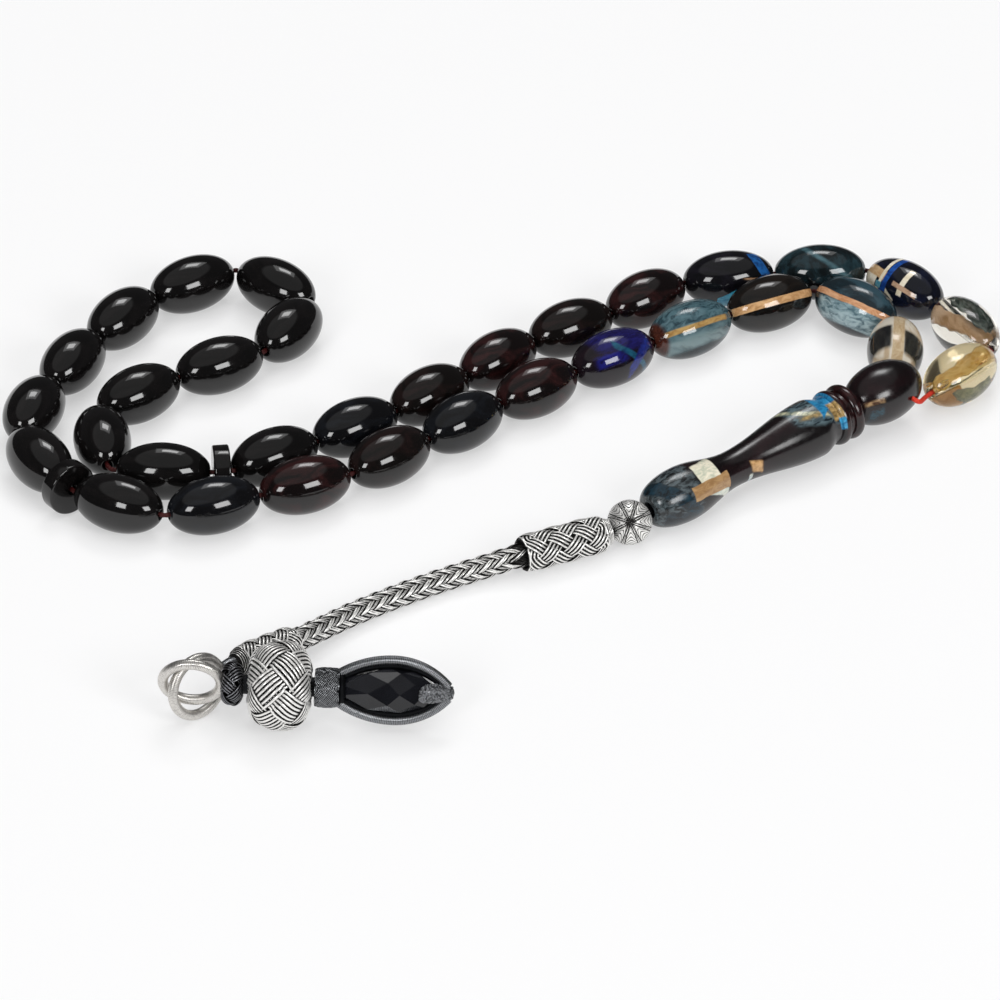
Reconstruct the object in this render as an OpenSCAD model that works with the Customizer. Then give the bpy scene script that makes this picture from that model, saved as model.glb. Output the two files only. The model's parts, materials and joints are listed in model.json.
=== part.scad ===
// Misbaha: a closed strand of 33 olive beads in three groups of eleven, two
// separator discs, a turned leader and a silver wire tassel with a stone drop.
// The strand lies on a table, +Z up. The origin is the middle of its footprint.

/* [Beads] */
// Diameter of a bead at its belly
bead_d = 9; // [7:0.1:11]
// Length of a bead along its bore
bead_len = 14.5; // [12:0.1:18]
// Diameter of the bore through beads and discs
bead_bore = 1.6; // [1.2:0.1:2.2]
// Radius of the small flat round each bore mouth
bead_flat_r = 1.1; // [1:0.05:1.6]
// Smallest gap the string leaves between two beads
bead_gap = 0.5; // [0.4:0.1:2]
// Diameter of the red string
string_d = 0.8; // [0.5:0.1:1]

/* [Separator discs] */
// Diameter of a separator disc
disc_d = 8.4; // [6:0.1:9]
// Thickness of a separator disc
disc_t = 2.6; // [1.8:0.1:4]

/* [Leader] */
// Length of the leader from its tassel end to its head end
leader_len = 54.5; // [44:0.5:66]
// Diameter of the bulb at the tassel end
bulb_d = 8.8; // [7:0.1:11]
// Diameter of the waist above the bulb
waist_d = 5.7; // [4.6:0.1:7]
// Diameter of the belly below the collar
belly_d = 9.4; // [8:0.1:11.6]
// Diameter of the two collar rings
collar_d = 9; // [8:0.1:11]
// Diameter of the head, which is shaped like a bead
head_d = 9.6; // [8:0.1:11]

/* [Tassel] */
// Diameter of the engraved silver ball
ball_d = 7; // [6:0.1:8.4]
// Outside diameter of the upper woven sleeve
upper_sleeve_d = 6.2; // [5.4:0.1:6.4]
// Outside diameter of the lower woven sleeve
lower_sleeve_d = 5.3; // [5.2:0.1:5.8]
// Length of the upper woven sleeve
upper_sleeve_len = 14.5; // [10:0.5:17]
// Length of the lower woven sleeve
lower_sleeve_len = 13; // [10:0.5:15]
// Diameter of the braided silver rope
rope_d = 3.8; // [2.8:0.1:4]
// Diameter of the wire-wrapped cord of the two linked loops
loop_wire_d = 1.6; // [1.2:0.1:1.7]
// Diameter of the large woven knot
big_knot_d = 13.8; // [11:0.1:16.6]
// Length of the large woven knot along the drop
big_knot_len = 10.1; // [8:0.1:12]
// Diameter of the small woven knot
small_knot_d = 6.8; // [5.4:0.1:7.2]
// Length of the small woven knot
small_knot_len = 3.8; // [3:0.1:4.6]

/* [Stone drop] */
// Diameter of the band at the neck of the frame
band_d = 6.2; // [5:0.1:8]
// Length of the band at the neck of the frame
band_len = 3.8; // [3:0.1:5]
// Width of the pointed frame over its cords
frame_w = 10.6; // [9:0.1:12.6]
// Diameter of the wrapped cord of the frame
frame_wire_d = 1.5; // [1.1:0.1:1.8]
// Length of the pointed frame from the band to its tip
frame_len = 17.2; // [15:0.1:22]
// Greatest thickness of the faceted stone
stone_d = 6.9; // [5.5:0.1:7.4]

/* [Hidden] */
$fn = 64;
// Headings of the pieces along the string, in degrees, from the leader's head
// round the strand and back to it. Places 11 and 23 are the discs.
heads = [48, 120, 135, 184, 191, 219, 213, 225, 223, 215, 213, 188, 178, 99, 39, 29, 60, 141,
         213, 235, 245, 252, 300, 307, 334, 381, 383, 400, 402, 398, 395, 394, 388, 321, 266];
count = len(heads);
clear = 0.36;
// Where things lie on the table, before everything moves to the middle
leader_tip = [22.9, -9.1, bulb_d / 2 - 0.3];
leader_turn = 39;
leader_rise = 2.8;
ball_at = [19.9, -11.5, ball_d / 2];
sleeve_from = [16.5, -13.65, upper_sleeve_d / 2 + 0.1];
sleeve_turn = 205.7;
drop_at = [-32.6, -60.3, big_knot_d / 2 + 0.05];
drop_turn = -2;
drop_dip = 1.5;
// The free run of the silver rope between its two sleeves
rope_run = [[-2, -21.9, 2.4], [-8, -24.7, 2], [-15, -29.1, 2], [-23, -35.3, 2.3]];

// ---- small vector helpers ----
function unit(v) = v / norm(v);
function head2(a) = [cos(a), sin(a)];
function total(v, n) = n < 0 ? [0, 0] : v[n] + total(v, n - 1);
function mix(a, b, t) = a * (1 - t) + b * t;

// ---- the leader's own frame ----
leader_dir = [cos(leader_rise) * cos(leader_turn), cos(leader_rise) * sin(leader_turn), sin(leader_rise)];
leader_left = [-sin(leader_turn), cos(leader_turn), 0];
function on_leader(s, side) = leader_tip + s * leader_dir + side * leader_left;
s_collar = 0.68 * leader_len;
head_len = leader_len - s_collar - 3.9;
s_head = leader_len - head_len / 2;
s_hole = s_head + 2.4;
head_at = on_leader(s_head, 0);

// ---- the strand: one straight step per piece, longer where the string bends ----
function is_disc(i) = i == 11 || i == 23;
function piece_len(i) = is_disc(i) ? disc_t : bead_len;
function bend(a, b) = abs((b - a + 540) % 360 - 180);
base_gap = max(bead_gap, 1.667 * bead_d - bead_len);
// Radius of a bead at a distance back from its end
end_angle = acos(bead_flat_r / (bead_d / 2));
function back_r(s) = bead_d / 2 * sqrt(1 - pow((1 - 2 * s / bead_len) * sin(end_angle), 2));
function gap_at(i) = i == 0 || i == count ? base_gap :
    let (h = bend(heads[i - 1], heads[i]) / 2, flat = is_disc(i - 1) || is_disc(i))
    max(base_gap, max([for (s = [0:0.25:4]) flat
        ? (clear + back_r(s) * sin(2 * h) - s * cos(2 * h)) / pow(cos(h), 2)
        : (clear + 2 * back_r(s) * sin(h)) / cos(h) - 2 * s]));
gaps = [for (i = [0:count]) gap_at(i)];
steps = [for (i = [0:count - 1]) (piece_len(i) + (gaps[i] + gaps[i + 1]) / 2) * head2(heads[i])];
// Both ends of the strand keep their place beside the leader's head
head_k = max(head_d, bead_d) / 9.6;
strand_from = [head_at[0], head_at[1]] + head_k * [7.65, 2.55];
strand_to = [head_at[0], head_at[1]] + head_k * [2.25, 7.75];
miss = strand_to - strand_from - total(steps, count - 1);
knuckles = [for (i = [0:count]) strand_from + total(steps, i - 1) + miss * i / count];
runs = [for (i = [0:count - 1]) knuckles[i + 1] - knuckles[i]];
turns = [for (r = runs) atan2(r[1], r[0])];
centres = [for (i = [0:count - 1]) knuckles[i] + unit(runs[i])
    * ((norm(runs[i]) - piece_len(i)) * gaps[i] / (gaps[i] + gaps[i + 1]) + piece_len(i) / 2)];
string_z = bead_d / 2;

// ---- the footprint, used to move the origin to its middle ----
function reach_x(i) = norm([bead_len / 2 * cos(turns[i]), bead_d / 2 * sin(turns[i])]);
function reach_y(i) = norm([bead_len / 2 * sin(turns[i]), bead_d / 2 * cos(turns[i])]);
x_low = min([for (i = [0:count - 1]) centres[i][0] - reach_x(i)]);
x_high = max([for (i = [0:count - 1]) centres[i][0] + reach_x(i)]);
y_high = max([for (i = [0:count - 1]) centres[i][1] + reach_y(i)]);
y_low = drop_at[1] - big_knot_d / 2;
middle = [(x_low + x_high) / 2, (y_low + y_high) / 2, 0];
module on_table() translate(-middle) children();

// ---- a tube swept along points that never run straight up ----
function along(p, i) = unit(i == 0 ? p[1] - p[0] : i == len(p) - 1 ? p[i] - p[i - 1]
    : unit(p[i + 1] - p[i]) + unit(p[i] - p[i - 1]));
function widen(p, i) = i == 0 || i == len(p) - 1 ? 1
    : 1 / max(0.7, unit(p[i + 1] - p[i]) * along(p, i));
function ring_at(p, i, r, n) = let (t = along(p, i), s = unit(cross([0, 0, 1], t)), u = cross(t, s))
    [for (k = [0:n - 1]) p[i] + r * (widen(p, i) * cos(360 * k / n) * s + sin(360 * k / n) * u)];
module tube(p, d, n) {
    m = len(p);
    pts = [for (i = [0:m - 1]) each ring_at(p, i, d / 2, n)];
    sides = [for (i = [0:m - 2], k = [0:n - 1]) let (a = i * n + k, b = i * n + (k + 1) % n)
        each [[a, a + n, b + n], [a, b + n, b]]];
    caps = [[for (k = [0:n - 1]) k], [for (k = [0:n - 1]) m * n - 1 - k]];
    polyhedron(points = pts, faces = concat(sides, caps));
}

// ---- the string's route ----
function up(p) = [p[0], p[1], string_z];
function corner(i) = let (k = knuckles[i], a = unit(runs[i - 1]), b = unit(runs[i]), g = gaps[i] * 0.45)
    bend(turns[i - 1], turns[i]) < 32 ? [up(k)]
    : [up(k - a * g), up(k * 0.5 + (k - a * g + k + b * g) * 0.25), up(k + b * g)];
function curve(a, b, c, d, t) = pow(1 - t, 3) * a + 3 * t * pow(1 - t, 2) * b
    + 3 * t * t * (1 - t) * c + pow(t, 3) * d;
out_side = head_d / 2 + 0.1;
first_in = up(knuckles[0] + unit(runs[0]) * base_gap / 2);
last_out = up(knuckles[count] - unit(runs[count - 1]) * base_gap / 2);
string_route = concat(
    [on_leader(s_hole, -0.3)],
    [for (t = [0, 0.2, 0.4, 0.6, 0.8]) curve(on_leader(s_hole, -out_side),
        on_leader(s_hole, -out_side - 2), first_in - 3 * up3(runs[0]), first_in, t)],
    [first_in],
    [for (i = [1:count - 1]) each corner(i)],
    [last_out],
    [for (t = [0.8, 0.6, 0.4, 0.2, 0]) curve(on_leader(s_hole, out_side),
        on_leader(s_hole, out_side + 1.8), last_out + 2.5 * up3(runs[count - 1]), last_out, t)],
    [on_leader(s_hole, 0.3)]);
function up3(v) = [unit(v)[0], unit(v)[1], 0];

// ---- the tassel's frames ----
sleeve_dir = [cos(sleeve_turn), sin(sleeve_turn), 0];
ball_dir = unit(sleeve_from - leader_tip);
module drop() translate(drop_at) rotate([0, drop_dip, drop_turn]) children();
drop_dir = [cos(drop_dip) * cos(drop_turn), cos(drop_dip) * sin(drop_turn), -sin(drop_dip)];
pendant_loop_r = 4.3;
rope_loop_r = 4.5;
knot_end = big_knot_len / 2 + 0.2 + small_knot_len;
loop_reach = knot_end - 0.2 + pendant_loop_r;
pendant_loop_at = drop_at - loop_reach * drop_dir;
rope_loop_at = pendant_loop_at + [0.8, 1.7, -2];
stem_end = rope_loop_at + [3.7, 3, 1.2];
lower_dir = unit([-10.3, -11.3, 2.9]);
lower_from = stem_end - (lower_sleeve_len + 2.2) * lower_dir;

// Rope points: straight inside each sleeve, then an easy curve between them
rope_in = sleeve_from + 3 * sleeve_dir;
rope_out = lower_from + (lower_sleeve_len - 4.4) * lower_dir;
upper_mouth = sleeve_from + upper_sleeve_len * sleeve_dir;
rope_pts = concat([upper_mouth], rope_run, [lower_from]);
function rope_pull(i) = i == 0 ? 6 * sleeve_dir : i == len(rope_pts) - 1 ? 9 * lower_dir
    : (rope_pts[i + 1] - rope_pts[i - 1]) / 2;
rope_route = concat([rope_in], [for (i = [0:len(rope_pts) - 2], t = [0, 0.5])
    curve(rope_pts[i], rope_pts[i] + rope_pull(i) / 3, rope_pts[i + 1] - rope_pull(i + 1) / 3,
        rope_pts[i + 1], t)], [lower_from, rope_out]);

// ---- beads and discs ----
// Half an ellipse, cut flat at both bore mouths
module bead_shape() {
    top = end_angle;
    rotate_extrude() polygon(concat(
        [for (k = [-13:13]) let (a = top * k / 13)
            [bead_d / 2 * cos(a), bead_len / 2 * sin(a) / sin(top)]],
        [[bead_bore / 2, bead_len / 2], [bead_bore / 2, -bead_len / 2]]));
}
module place(i) on_table() translate(up(centres[i])) rotate([0, 90, turns[i]]) children();
module bead(i) place(i) bead_shape();
// Edges of the disc are rounded a little
module disc(i) place(i) rotate_extrude() polygon([
    [bead_bore / 2, -disc_t / 2], [disc_d / 2 - 0.5, -disc_t / 2], [disc_d / 2 - 0.15, -disc_t / 2 + 0.15],
    [disc_d / 2, -disc_t / 2 + 0.5], [disc_d / 2, disc_t / 2 - 0.5], [disc_d / 2 - 0.15, disc_t / 2 - 0.15],
    [disc_d / 2 - 0.5, disc_t / 2], [bead_bore / 2, disc_t / 2]]);

module bead_01() { color("#c9a565") bead(0); }
module bead_02() { color("#d8cdb8") bead(1); }
module bead_03() { color("#e6dcc4") bead(2); }
module bead_04() { color("#33444c") bead(3); }
module bead_05() { color("#10141c") bead(4); }
module bead_06() { color("#141010") bead(5); }
module bead_07() { color("#130f0e") bead(6); }
module bead_08() { color("#221212") bead(7); }
module bead_09() { color("#120f0e") bead(8); }
module bead_10() { color("#120f0e") bead(9); }
module bead_11() { color("#110e0d") bead(10); }
module bead_12() { color("#110e0d") bead(12); }
module bead_13() { color("#110e0d") bead(13); }
module bead_14() { color("#110e0d") bead(14); }
module bead_15() { color("#110e0d") bead(15); }
module bead_16() { color("#110e0d") bead(16); }
module bead_17() { color("#110e0d") bead(17); }
module bead_18() { color("#110e0d") bead(18); }
module bead_19() { color("#110e0d") bead(19); }
module bead_20() { color("#110e0d") bead(20); }
module bead_21() { color("#110e0d") bead(21); }
module bead_22() { color("#110e0d") bead(22); }
module bead_23() { color("#110e0d") bead(24); }
module bead_24() { color("#120f0e") bead(25); }
module bead_25() { color("#201111") bead(26); }
module bead_26() { color("#141010") bead(27); }
module bead_27() { color("#141010") bead(28); }
module bead_28() { color("#231313") bead(29); }
module bead_29() { color("#20204a") bead(30); }
module bead_30() { color("#4a6670") bead(31); }
module bead_31() { color("#161312") bead(32); }
module bead_32() { color("#44525a") bead(33); }
module bead_33() { color("#c8a878") bead(34); }
module disc_1() { color("#141212") disc(11); }
module disc_2() { color("#141212") disc(23); }
module bead_string() { color("#c8281c") on_table() tube(string_route, string_d, 8); }

// ---- leader ----
// Radius of the turned leader at each station; cosine steps join them
function ease(a, b, t) = mix(a, b, (1 - cos(180 * t)) / 2);
bulb_s = 6.5 / 54 * leader_len;
waist_s = 16.5 / 54 * leader_len;
belly_s = 32.5 / 54 * leader_len;
function leader_r(s) =
    s < bulb_s ? 1.9 + (bulb_d / 2 - 1.9) * sqrt(1 - pow(1 - s / bulb_s, 2)) :
    s < waist_s ? ease(bulb_d / 2, waist_d / 2, (s - bulb_s) / (waist_s - bulb_s)) :
    s < belly_s ? ease(waist_d / 2, belly_d / 2, (s - waist_s) / (belly_s - waist_s)) :
    ease(belly_d / 2, collar_d / 2 - 0.7, (s - belly_s) / (s_collar - 0.9 - belly_s));
// The head is cut flat where it meets the collar and at its end
function head_r(s) = head_d / 2 * sqrt(max(0.14, 1 - pow((s - s_head) / (head_len / 2 * 1.06), 2)));
leader_profile = concat(
    [for (k = [0:8]) let (s = bulb_s * (1 - cos(90 * k / 8))) [leader_r(s), s]],
    [for (k = [1:10]) let (s = mix(bulb_s, waist_s, k / 10)) [leader_r(s), s]],
    [for (k = [1:10]) let (s = mix(waist_s, belly_s, k / 10)) [leader_r(s), s]],
    [for (k = [1:6]) let (s = mix(belly_s, s_collar - 0.9, k / 6)) [leader_r(s), s]],
    [for (c = [0, 2.5]) each [for (k = [-4:4])
        [collar_d / 2 - 0.7 + 0.7 * cos(90 * k / 4), s_collar + 0.2 + c + 0.9 * sin(90 * k / 4)]]],
    [for (k = [0:14]) let (s = s_head - head_len / 2 * cos(180 * k / 14)) [head_r(s), s]]);
module leader() {
    color("#1d1416") on_table() translate(leader_tip) rotate([0, 90 - leader_rise, leader_turn])
        difference() {
            rotate_extrude() polygon(concat(leader_profile, [[0, leader_len], [0, 0]]));
            translate([0, 0, -1]) cylinder(d = 1.8, h = s_hole + 1);
            translate([0, 0, -1]) cylinder(d = 2.6, h = 7);
            translate([0, 0, s_hole]) rotate([90, 0, 0]) cylinder(d = 1.8, h = 14, center = true);
        }
}

// ---- silver tassel ----
module rod(a, b, d) {
    v = b - a;
    translate(a) rotate([0, acos(v[2] / norm(v)), atan2(v[1], v[0])]) cylinder(d = d, h = norm(v));
}
wire_d = 1.2;
ball_half = ball_d / 2 + 0.15;
wire_pts = [on_leader(4, 0), ball_at - ball_half * ball_dir, ball_at + ball_half * ball_dir,
    sleeve_from + 2.6 * sleeve_dir];
module tassel_wire() {
    color("#8d8d8c") on_table() {
        rod(wire_pts[1], wire_pts[2], wire_d);
        rod(wire_pts[0], wire_pts[1] + 0.14 * ball_dir, wire_d - 0.2);
        rod(wire_pts[2] - 0.14 * ball_dir, wire_pts[3], wire_d - 0.2);
    }
}
module silver_ball() {
    color("#b9b9b6") on_table() difference() {
        translate(ball_at) sphere(d = ball_d);
        rod(ball_at - ball_d * ball_dir, ball_at + ball_d * ball_dir, wire_d + 0.1);
    }
}
// A woven sleeve: eased ends and a bore for the rope
module sleeve_shape(d, l, bore_l, end_bore, end_d) {
    difference() {
        rotate_extrude() polygon([[0, 0], [d / 2 - 0.5, 0], [d / 2 - 0.15, 0.2], [d / 2, 0.7],
            [d / 2, l - 2.4], [d / 2 - 0.2, l - 1.6], [end_d / 2, l - 0.2], [end_d / 2 - 0.2, l], [0, l]]);
        translate([0, 0, -1]) cylinder(d = rope_d + 0.1, h = bore_l + 1);
        translate([0, 0, bore_l - 1]) cylinder(d = end_bore, h = l);
    }
}
module aim(at, v) translate(at) rotate([0, acos(v[2] / norm(v)), atan2(v[1], v[0])]) children();
module upper_sleeve() {
    color("#a9a9a6") on_table()
        aim(upper_mouth, -sleeve_dir)
            sleeve_shape(upper_sleeve_d, upper_sleeve_len, upper_sleeve_len - 2.8, 2, 5.2);
}
module silver_rope() { color("#8f8f8c") on_table() tube(rope_route, rope_d, 10); }
module lower_sleeve() {
    color("#a9a9a6") on_table()
        aim(lower_from, lower_dir)
            sleeve_shape(lower_sleeve_d, lower_sleeve_len, lower_sleeve_len - 4.2, 2.5, 3.9);
}
module loop_ring(r, d) rotate_extrude() translate([r, 0]) circle(d = d);
module rope_loop() {
    color("#c2c0bb") on_table() {
        translate(rope_loop_at) rotate([0, 82, -50]) loop_ring(rope_loop_r, loop_wire_d);
        rod(lower_from + (lower_sleeve_len - 4) * lower_dir, stem_end, 2.4);
    }
}
// The pendant's loop stands across the drop's length
module pendant_loop_here(d) translate([-loop_reach, 0, 0]) rotate([108, 0, 0]) loop_ring(pendant_loop_r, d);
module pendant_loop() { color("#c9c8c5") on_table() drop() pendant_loop_here(loop_wire_d); }

core_d = 2.9;
module knot_shape(l, d, hole) {
    rotate([0, 90, 0]) rotate_extrude() difference() {
        polygon([for (k = [-16:16]) let (a = 90 * k / 16)
            [d / 2 * pow(cos(a), 0.62) + (abs(k) == 16 ? 0.001 : 0), l / 2 * (a < 0 ? -1 : 1) * pow(abs(sin(a)), 0.9)]]);
        translate([-1, -l]) square([hole / 2 + 1, 2 * l]);
    }
}
module small_knot() {
    color("#7c7c7a") on_table() drop() difference() {
        translate([-big_knot_len / 2 - 0.1 - small_knot_len / 2, 0, 0])
            knot_shape(small_knot_len, small_knot_d, core_d + 0.1);
        pendant_loop_here(loop_wire_d + 0.1);
    }
}
module big_knot() { color("#b4b4b1") on_table() drop() knot_shape(big_knot_len, big_knot_d, core_d + 0.1); }
// Hidden core that the knots are tied over, from the loop to the band
band_from = big_knot_len / 2 + 0.1;
module pendant_core() {
    color("#6e6e6c") on_table() drop() translate([-knot_end + 1.3, 0, 0]) rotate([0, 90, 0])
        cylinder(d = core_d, h = knot_end - 1.3 + band_from + 1);
}

// ---- stone drop: a pointed frame of two arcs round a faceted stone ----
tip_x = band_from + band_len + frame_len;
arc_mid = band_from + band_len + 0.46 * frame_len;
arc_y = (frame_w - frame_wire_d) / 2;
arc_near = 2.3;
arc_run = arc_mid - band_from - band_len;
arc_r = (pow(arc_run, 2) + pow(arc_y - arc_near, 2)) / (2 * (arc_y - arc_near));
band_side = asin((arc_run + 1.2) / arc_r);
// Towards the tip the arcs are rounder and a hair thinner, and a short cross piece joins them
arc_far = 0.9;
arc_run2 = tip_x - 1.2 - arc_mid;
arc_r2 = (pow(arc_run2, 2) + pow(arc_y - arc_far, 2)) / (2 * (arc_y - arc_far));
tip_side = asin(arc_run2 / arc_r2);
module frame_arcs(d, more = 0) {
    for (m = [0, 1]) mirror([0, m, 0]) {
        translate([arc_mid, arc_y - arc_r, 0]) rotate([0, 0, 90])
            rotate_extrude(angle = band_side + more) translate([arc_r, 0]) circle(d = d);
        translate([arc_mid, arc_y - arc_r2, 0]) rotate([0, 0, 90 - tip_side])
            rotate_extrude(angle = tip_side) translate([arc_r2, 0]) circle(d = d - 0.04);
    }
    translate([tip_x - 1.2, 0, 0]) rotate([90, 0, 0]) cylinder(d = d + 0.1, h = 3 + more / 2, center = true);
}
module framed() on_table() drop() rotate([68, 0, 0]) children();
module neck_band() {
    color("#55585a") framed() difference() {
        translate([band_from, 0, 0]) rotate([0, 90, 0]) cylinder(d = band_d, h = band_len);
        translate([band_from - 1, 0, 0]) rotate([0, 90, 0]) cylinder(d = core_d + 0.1, h = 2.1);
        frame_arcs(frame_wire_d + 0.06, 0.2);
    }
}
module stone_frame() { color("#63666a") framed() frame_arcs(frame_wire_d); }
cap_x = tip_x - 6;
module tip_cap() {
    color("#54575a") framed() difference() {
        translate([cap_x, 0, 0]) rotate([0, 90, 0]) rotate_extrude()
            polygon([[0, 0], [2.6, 0], [2.7, 1.5], [2.6, 3], [2.2, 4.5], [1.6, 5.5], [0.8, 6.1], [0, 6.2]]);
        stone_hull(0.06);
        frame_arcs(frame_wire_d + 0.06, 0.2);
        // The mouth is cut aslant, so that a tongue lies over the stone
        translate([cap_x, -4, 2.6]) rotate([0, -34, 0]) translate([-6, 0, -12]) cube([6, 8, 16]);
    }
}
stone_from = band_from + band_len + 0.3;
stone_to = tip_x - 3;
stone_len = stone_to - stone_from;
// Radius of the stone at a place between 0 and 1 along it
function stone_r(t) = stone_d / 2 * sqrt(max(0.02, 1 - pow((t - 0.54) / (t < 0.54 ? 0.6 : 0.475), 2)));
stone_rows = [0, 0.28, 0.49, 0.62, 0.78, 0.88, 1];
// Six-sided rows, turned half a step each time, so that diamond facets lie between them
function turned(j) = (j + 1) % 2;
module stone_hull(g) {
    n = 6;
    rows = len(stone_rows);
    pts = [for (j = [0:rows - 1], k = [0:n - 1]) let (a = 360 / n * (k + turned(j) / 2), r = stone_r(stone_rows[j]) + g)
        [stone_from - g + stone_rows[j] * (stone_len + 2 * g), r * sin(a), r * cos(a)]];
    // A diamond's corners: its own row, both sides of the next row, and the row after that
    diamonds = [for (j = [0:rows - 3], k = [0:n - 1]) let (t = j * n + k, b = t + 2 * n,
            m = (j + 1) * n + (k + n - 1 + turned(j)) % n, p = (j + 1) * n + (k + turned(j)) % n)
        each [[t, b, m], [t, p, b]]];
    ends = [for (k = [0:n - 1]) let (q = (k + 1) % n, z = (rows - 1) * n)
        each [[k, q, n + q], [z + q, z + k, z - n + q]]];
    polyhedron(points = pts, faces = concat(diamonds, ends,
        [[for (k = [0:n - 1]) n - 1 - k], [for (k = [0:n - 1]) (rows - 1) * n + k]]));
}
module stone() { color("#17171a") framed() stone_hull(0); }

bead_01();
bead_02();
bead_03();
bead_04();
bead_05();
bead_06();
bead_07();
bead_08();
bead_09();
bead_10();
bead_11();
bead_12();
bead_13();
bead_14();
bead_15();
bead_16();
bead_17();
bead_18();
bead_19();
bead_20();
bead_21();
bead_22();
bead_23();
bead_24();
bead_25();
bead_26();
bead_27();
bead_28();
bead_29();
bead_30();
bead_31();
bead_32();
bead_33();
disc_1();
disc_2();
bead_string();
leader();
tassel_wire();
silver_ball();
upper_sleeve();
silver_rope();
lower_sleeve();
rope_loop();
pendant_loop();
small_knot();
big_knot();
pendant_core();
neck_band();
stone_frame();
tip_cap();
stone();
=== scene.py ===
# %% [markdown]
# # A string of prayer beads in Blender
# A misbaha is a closed strand of 33 turned beads with two thin separator discs, a tall leader
# that both ends of the string go into, and a tassel.
# This one lies on a pale table. Its beads and leader are cast resin, and its tassel is woven silver wire.
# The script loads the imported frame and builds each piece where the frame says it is.

# %% Load the frame and keep its size
import json
import math
import random

import bmesh
import bpy
import numpy as np
from mathutils import Matrix, Vector


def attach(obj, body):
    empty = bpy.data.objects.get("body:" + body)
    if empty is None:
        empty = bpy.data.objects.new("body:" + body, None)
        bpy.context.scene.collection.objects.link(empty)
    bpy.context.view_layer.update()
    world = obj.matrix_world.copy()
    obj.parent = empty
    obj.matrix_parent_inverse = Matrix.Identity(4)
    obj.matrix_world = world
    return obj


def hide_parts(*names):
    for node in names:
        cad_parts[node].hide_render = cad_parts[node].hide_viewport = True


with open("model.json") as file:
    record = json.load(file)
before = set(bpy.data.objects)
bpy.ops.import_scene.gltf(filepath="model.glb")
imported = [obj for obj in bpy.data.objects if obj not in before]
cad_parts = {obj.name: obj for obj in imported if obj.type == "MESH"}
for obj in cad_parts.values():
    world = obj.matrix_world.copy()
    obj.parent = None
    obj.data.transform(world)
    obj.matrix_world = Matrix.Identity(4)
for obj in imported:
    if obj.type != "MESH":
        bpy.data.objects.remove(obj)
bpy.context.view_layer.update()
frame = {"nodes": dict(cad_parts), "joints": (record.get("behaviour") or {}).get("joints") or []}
MM = 0.001
JOINTS = {j["name"]: j for j in frame["joints"]}
random.seed(33)

# %% [markdown]
# ## Camera, table and light
# The camera looks down at the strand from the front, far away and through a long lens,
# so that near and far beads keep nearly the same size.
# Polished black beads show their surroundings as a mirror does, so the studio is made for the
# reflections: two window-shaped lamps in front, a soft box behind with a wider and dimmer glow round
# it, a dim room between them, and a big pale table below.
# One more wide lamp overhead only brightens the table. Reflections don't see it, so the beads stay black.

# %% Camera
TARGET = Vector((-0.774, 1.463, 0)) * MM
VIEW_TILT = math.radians(33.5)
TO_CAMERA = Vector((0, -math.cos(VIEW_TILT), math.sin(VIEW_TILT)))
scene = bpy.context.scene
camera = bpy.data.objects.new("camera", bpy.data.cameras.new("camera"))
scene.collection.objects.link(camera)
camera.location = TARGET + 1.2 * TO_CAMERA
camera.rotation_euler = (math.pi / 2 - VIEW_TILT, 0, 0)
camera.data.lens = 278.6
camera.data.sensor_width = 36
camera.data.clip_start, camera.data.clip_end = 0.01, 50
scene.camera = camera
scene.view_settings.view_transform = "Standard"
print("camera stands", round(camera.location.z, 3), "m above the table")


# %% Helpers for node trees
def add(tree, kind, settings=None, **sockets):
    """One node with its sockets set by name, to a value or to another node's output."""
    node = tree.nodes.new(kind)
    for key, value in (settings or {}).items():
        setattr(node, key, value)
    for key, value in sockets.items():
        slot = node.inputs[int(key[1:])] if key[1:].isdigit() else node.inputs[key.replace("_", " ")]
        if isinstance(value, bpy.types.NodeSocket):
            tree.links.new(value, slot)
        else:
            slot.default_value = value
    return node


def maths(tree, operation, a, b=0.0):
    return add(tree, "ShaderNodeMath", {"operation": operation}, s0=a, s1=b).outputs[0]


def blend_colour(tree, mask, a, b):
    """Colour a where the mask is 0, and b where it is 1."""
    return add(tree, "ShaderNodeMix", {"data_type": "RGBA"}, s0=mask, s6=a, s7=b).outputs[2]


def rgb(text):
    """A linear colour from its six hex digits."""
    parts = [int(text[i:i + 2], 16) / 255 for i in (0, 2, 4)]
    return tuple(p / 12.92 if p < 0.04045 else ((p + 0.055) / 1.055) ** 2.4 for p in parts) + (1,)


# %% The table and the dim room
TABLE_HALF = 6.0
TABLE_PAINT = (0.9, 0.9, 0.905, 1)
TABLE_GLOW = (0.975, 0.975, 0.975, 1)
GLOW_SHARE = 0.5
ROOM_DIM = (0.05, 0.05, 0.052, 1)
ROOM_ABOVE = (0.3, 0.3, 0.3, 1)


def pale_table():
    """Paint that also glows where it is seen, so that the shadows on it stay pale."""
    material = bpy.data.materials.new("table")
    material.use_nodes = True
    tree = material.node_tree
    tree.nodes.clear()
    diffuse = add(tree, "ShaderNodeBsdfDiffuse", Color=TABLE_PAINT)
    glow = add(tree, "ShaderNodeEmission", Color=TABLE_GLOW, Strength=1.0)
    path = add(tree, "ShaderNodeLightPath").outputs
    seen = maths(tree, "MAXIMUM", path["Is Camera Ray"],
                 maths(tree, "MAXIMUM", path["Is Glossy Ray"], path["Is Transmission Ray"]))
    mixed = add(tree, "ShaderNodeMixShader", s0=maths(tree, "MULTIPLY", seen, GLOW_SHARE),
                s1=diffuse.outputs[0], s2=glow.outputs[0])
    add(tree, "ShaderNodeOutputMaterial", Surface=mixed.outputs[0])
    return material


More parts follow.
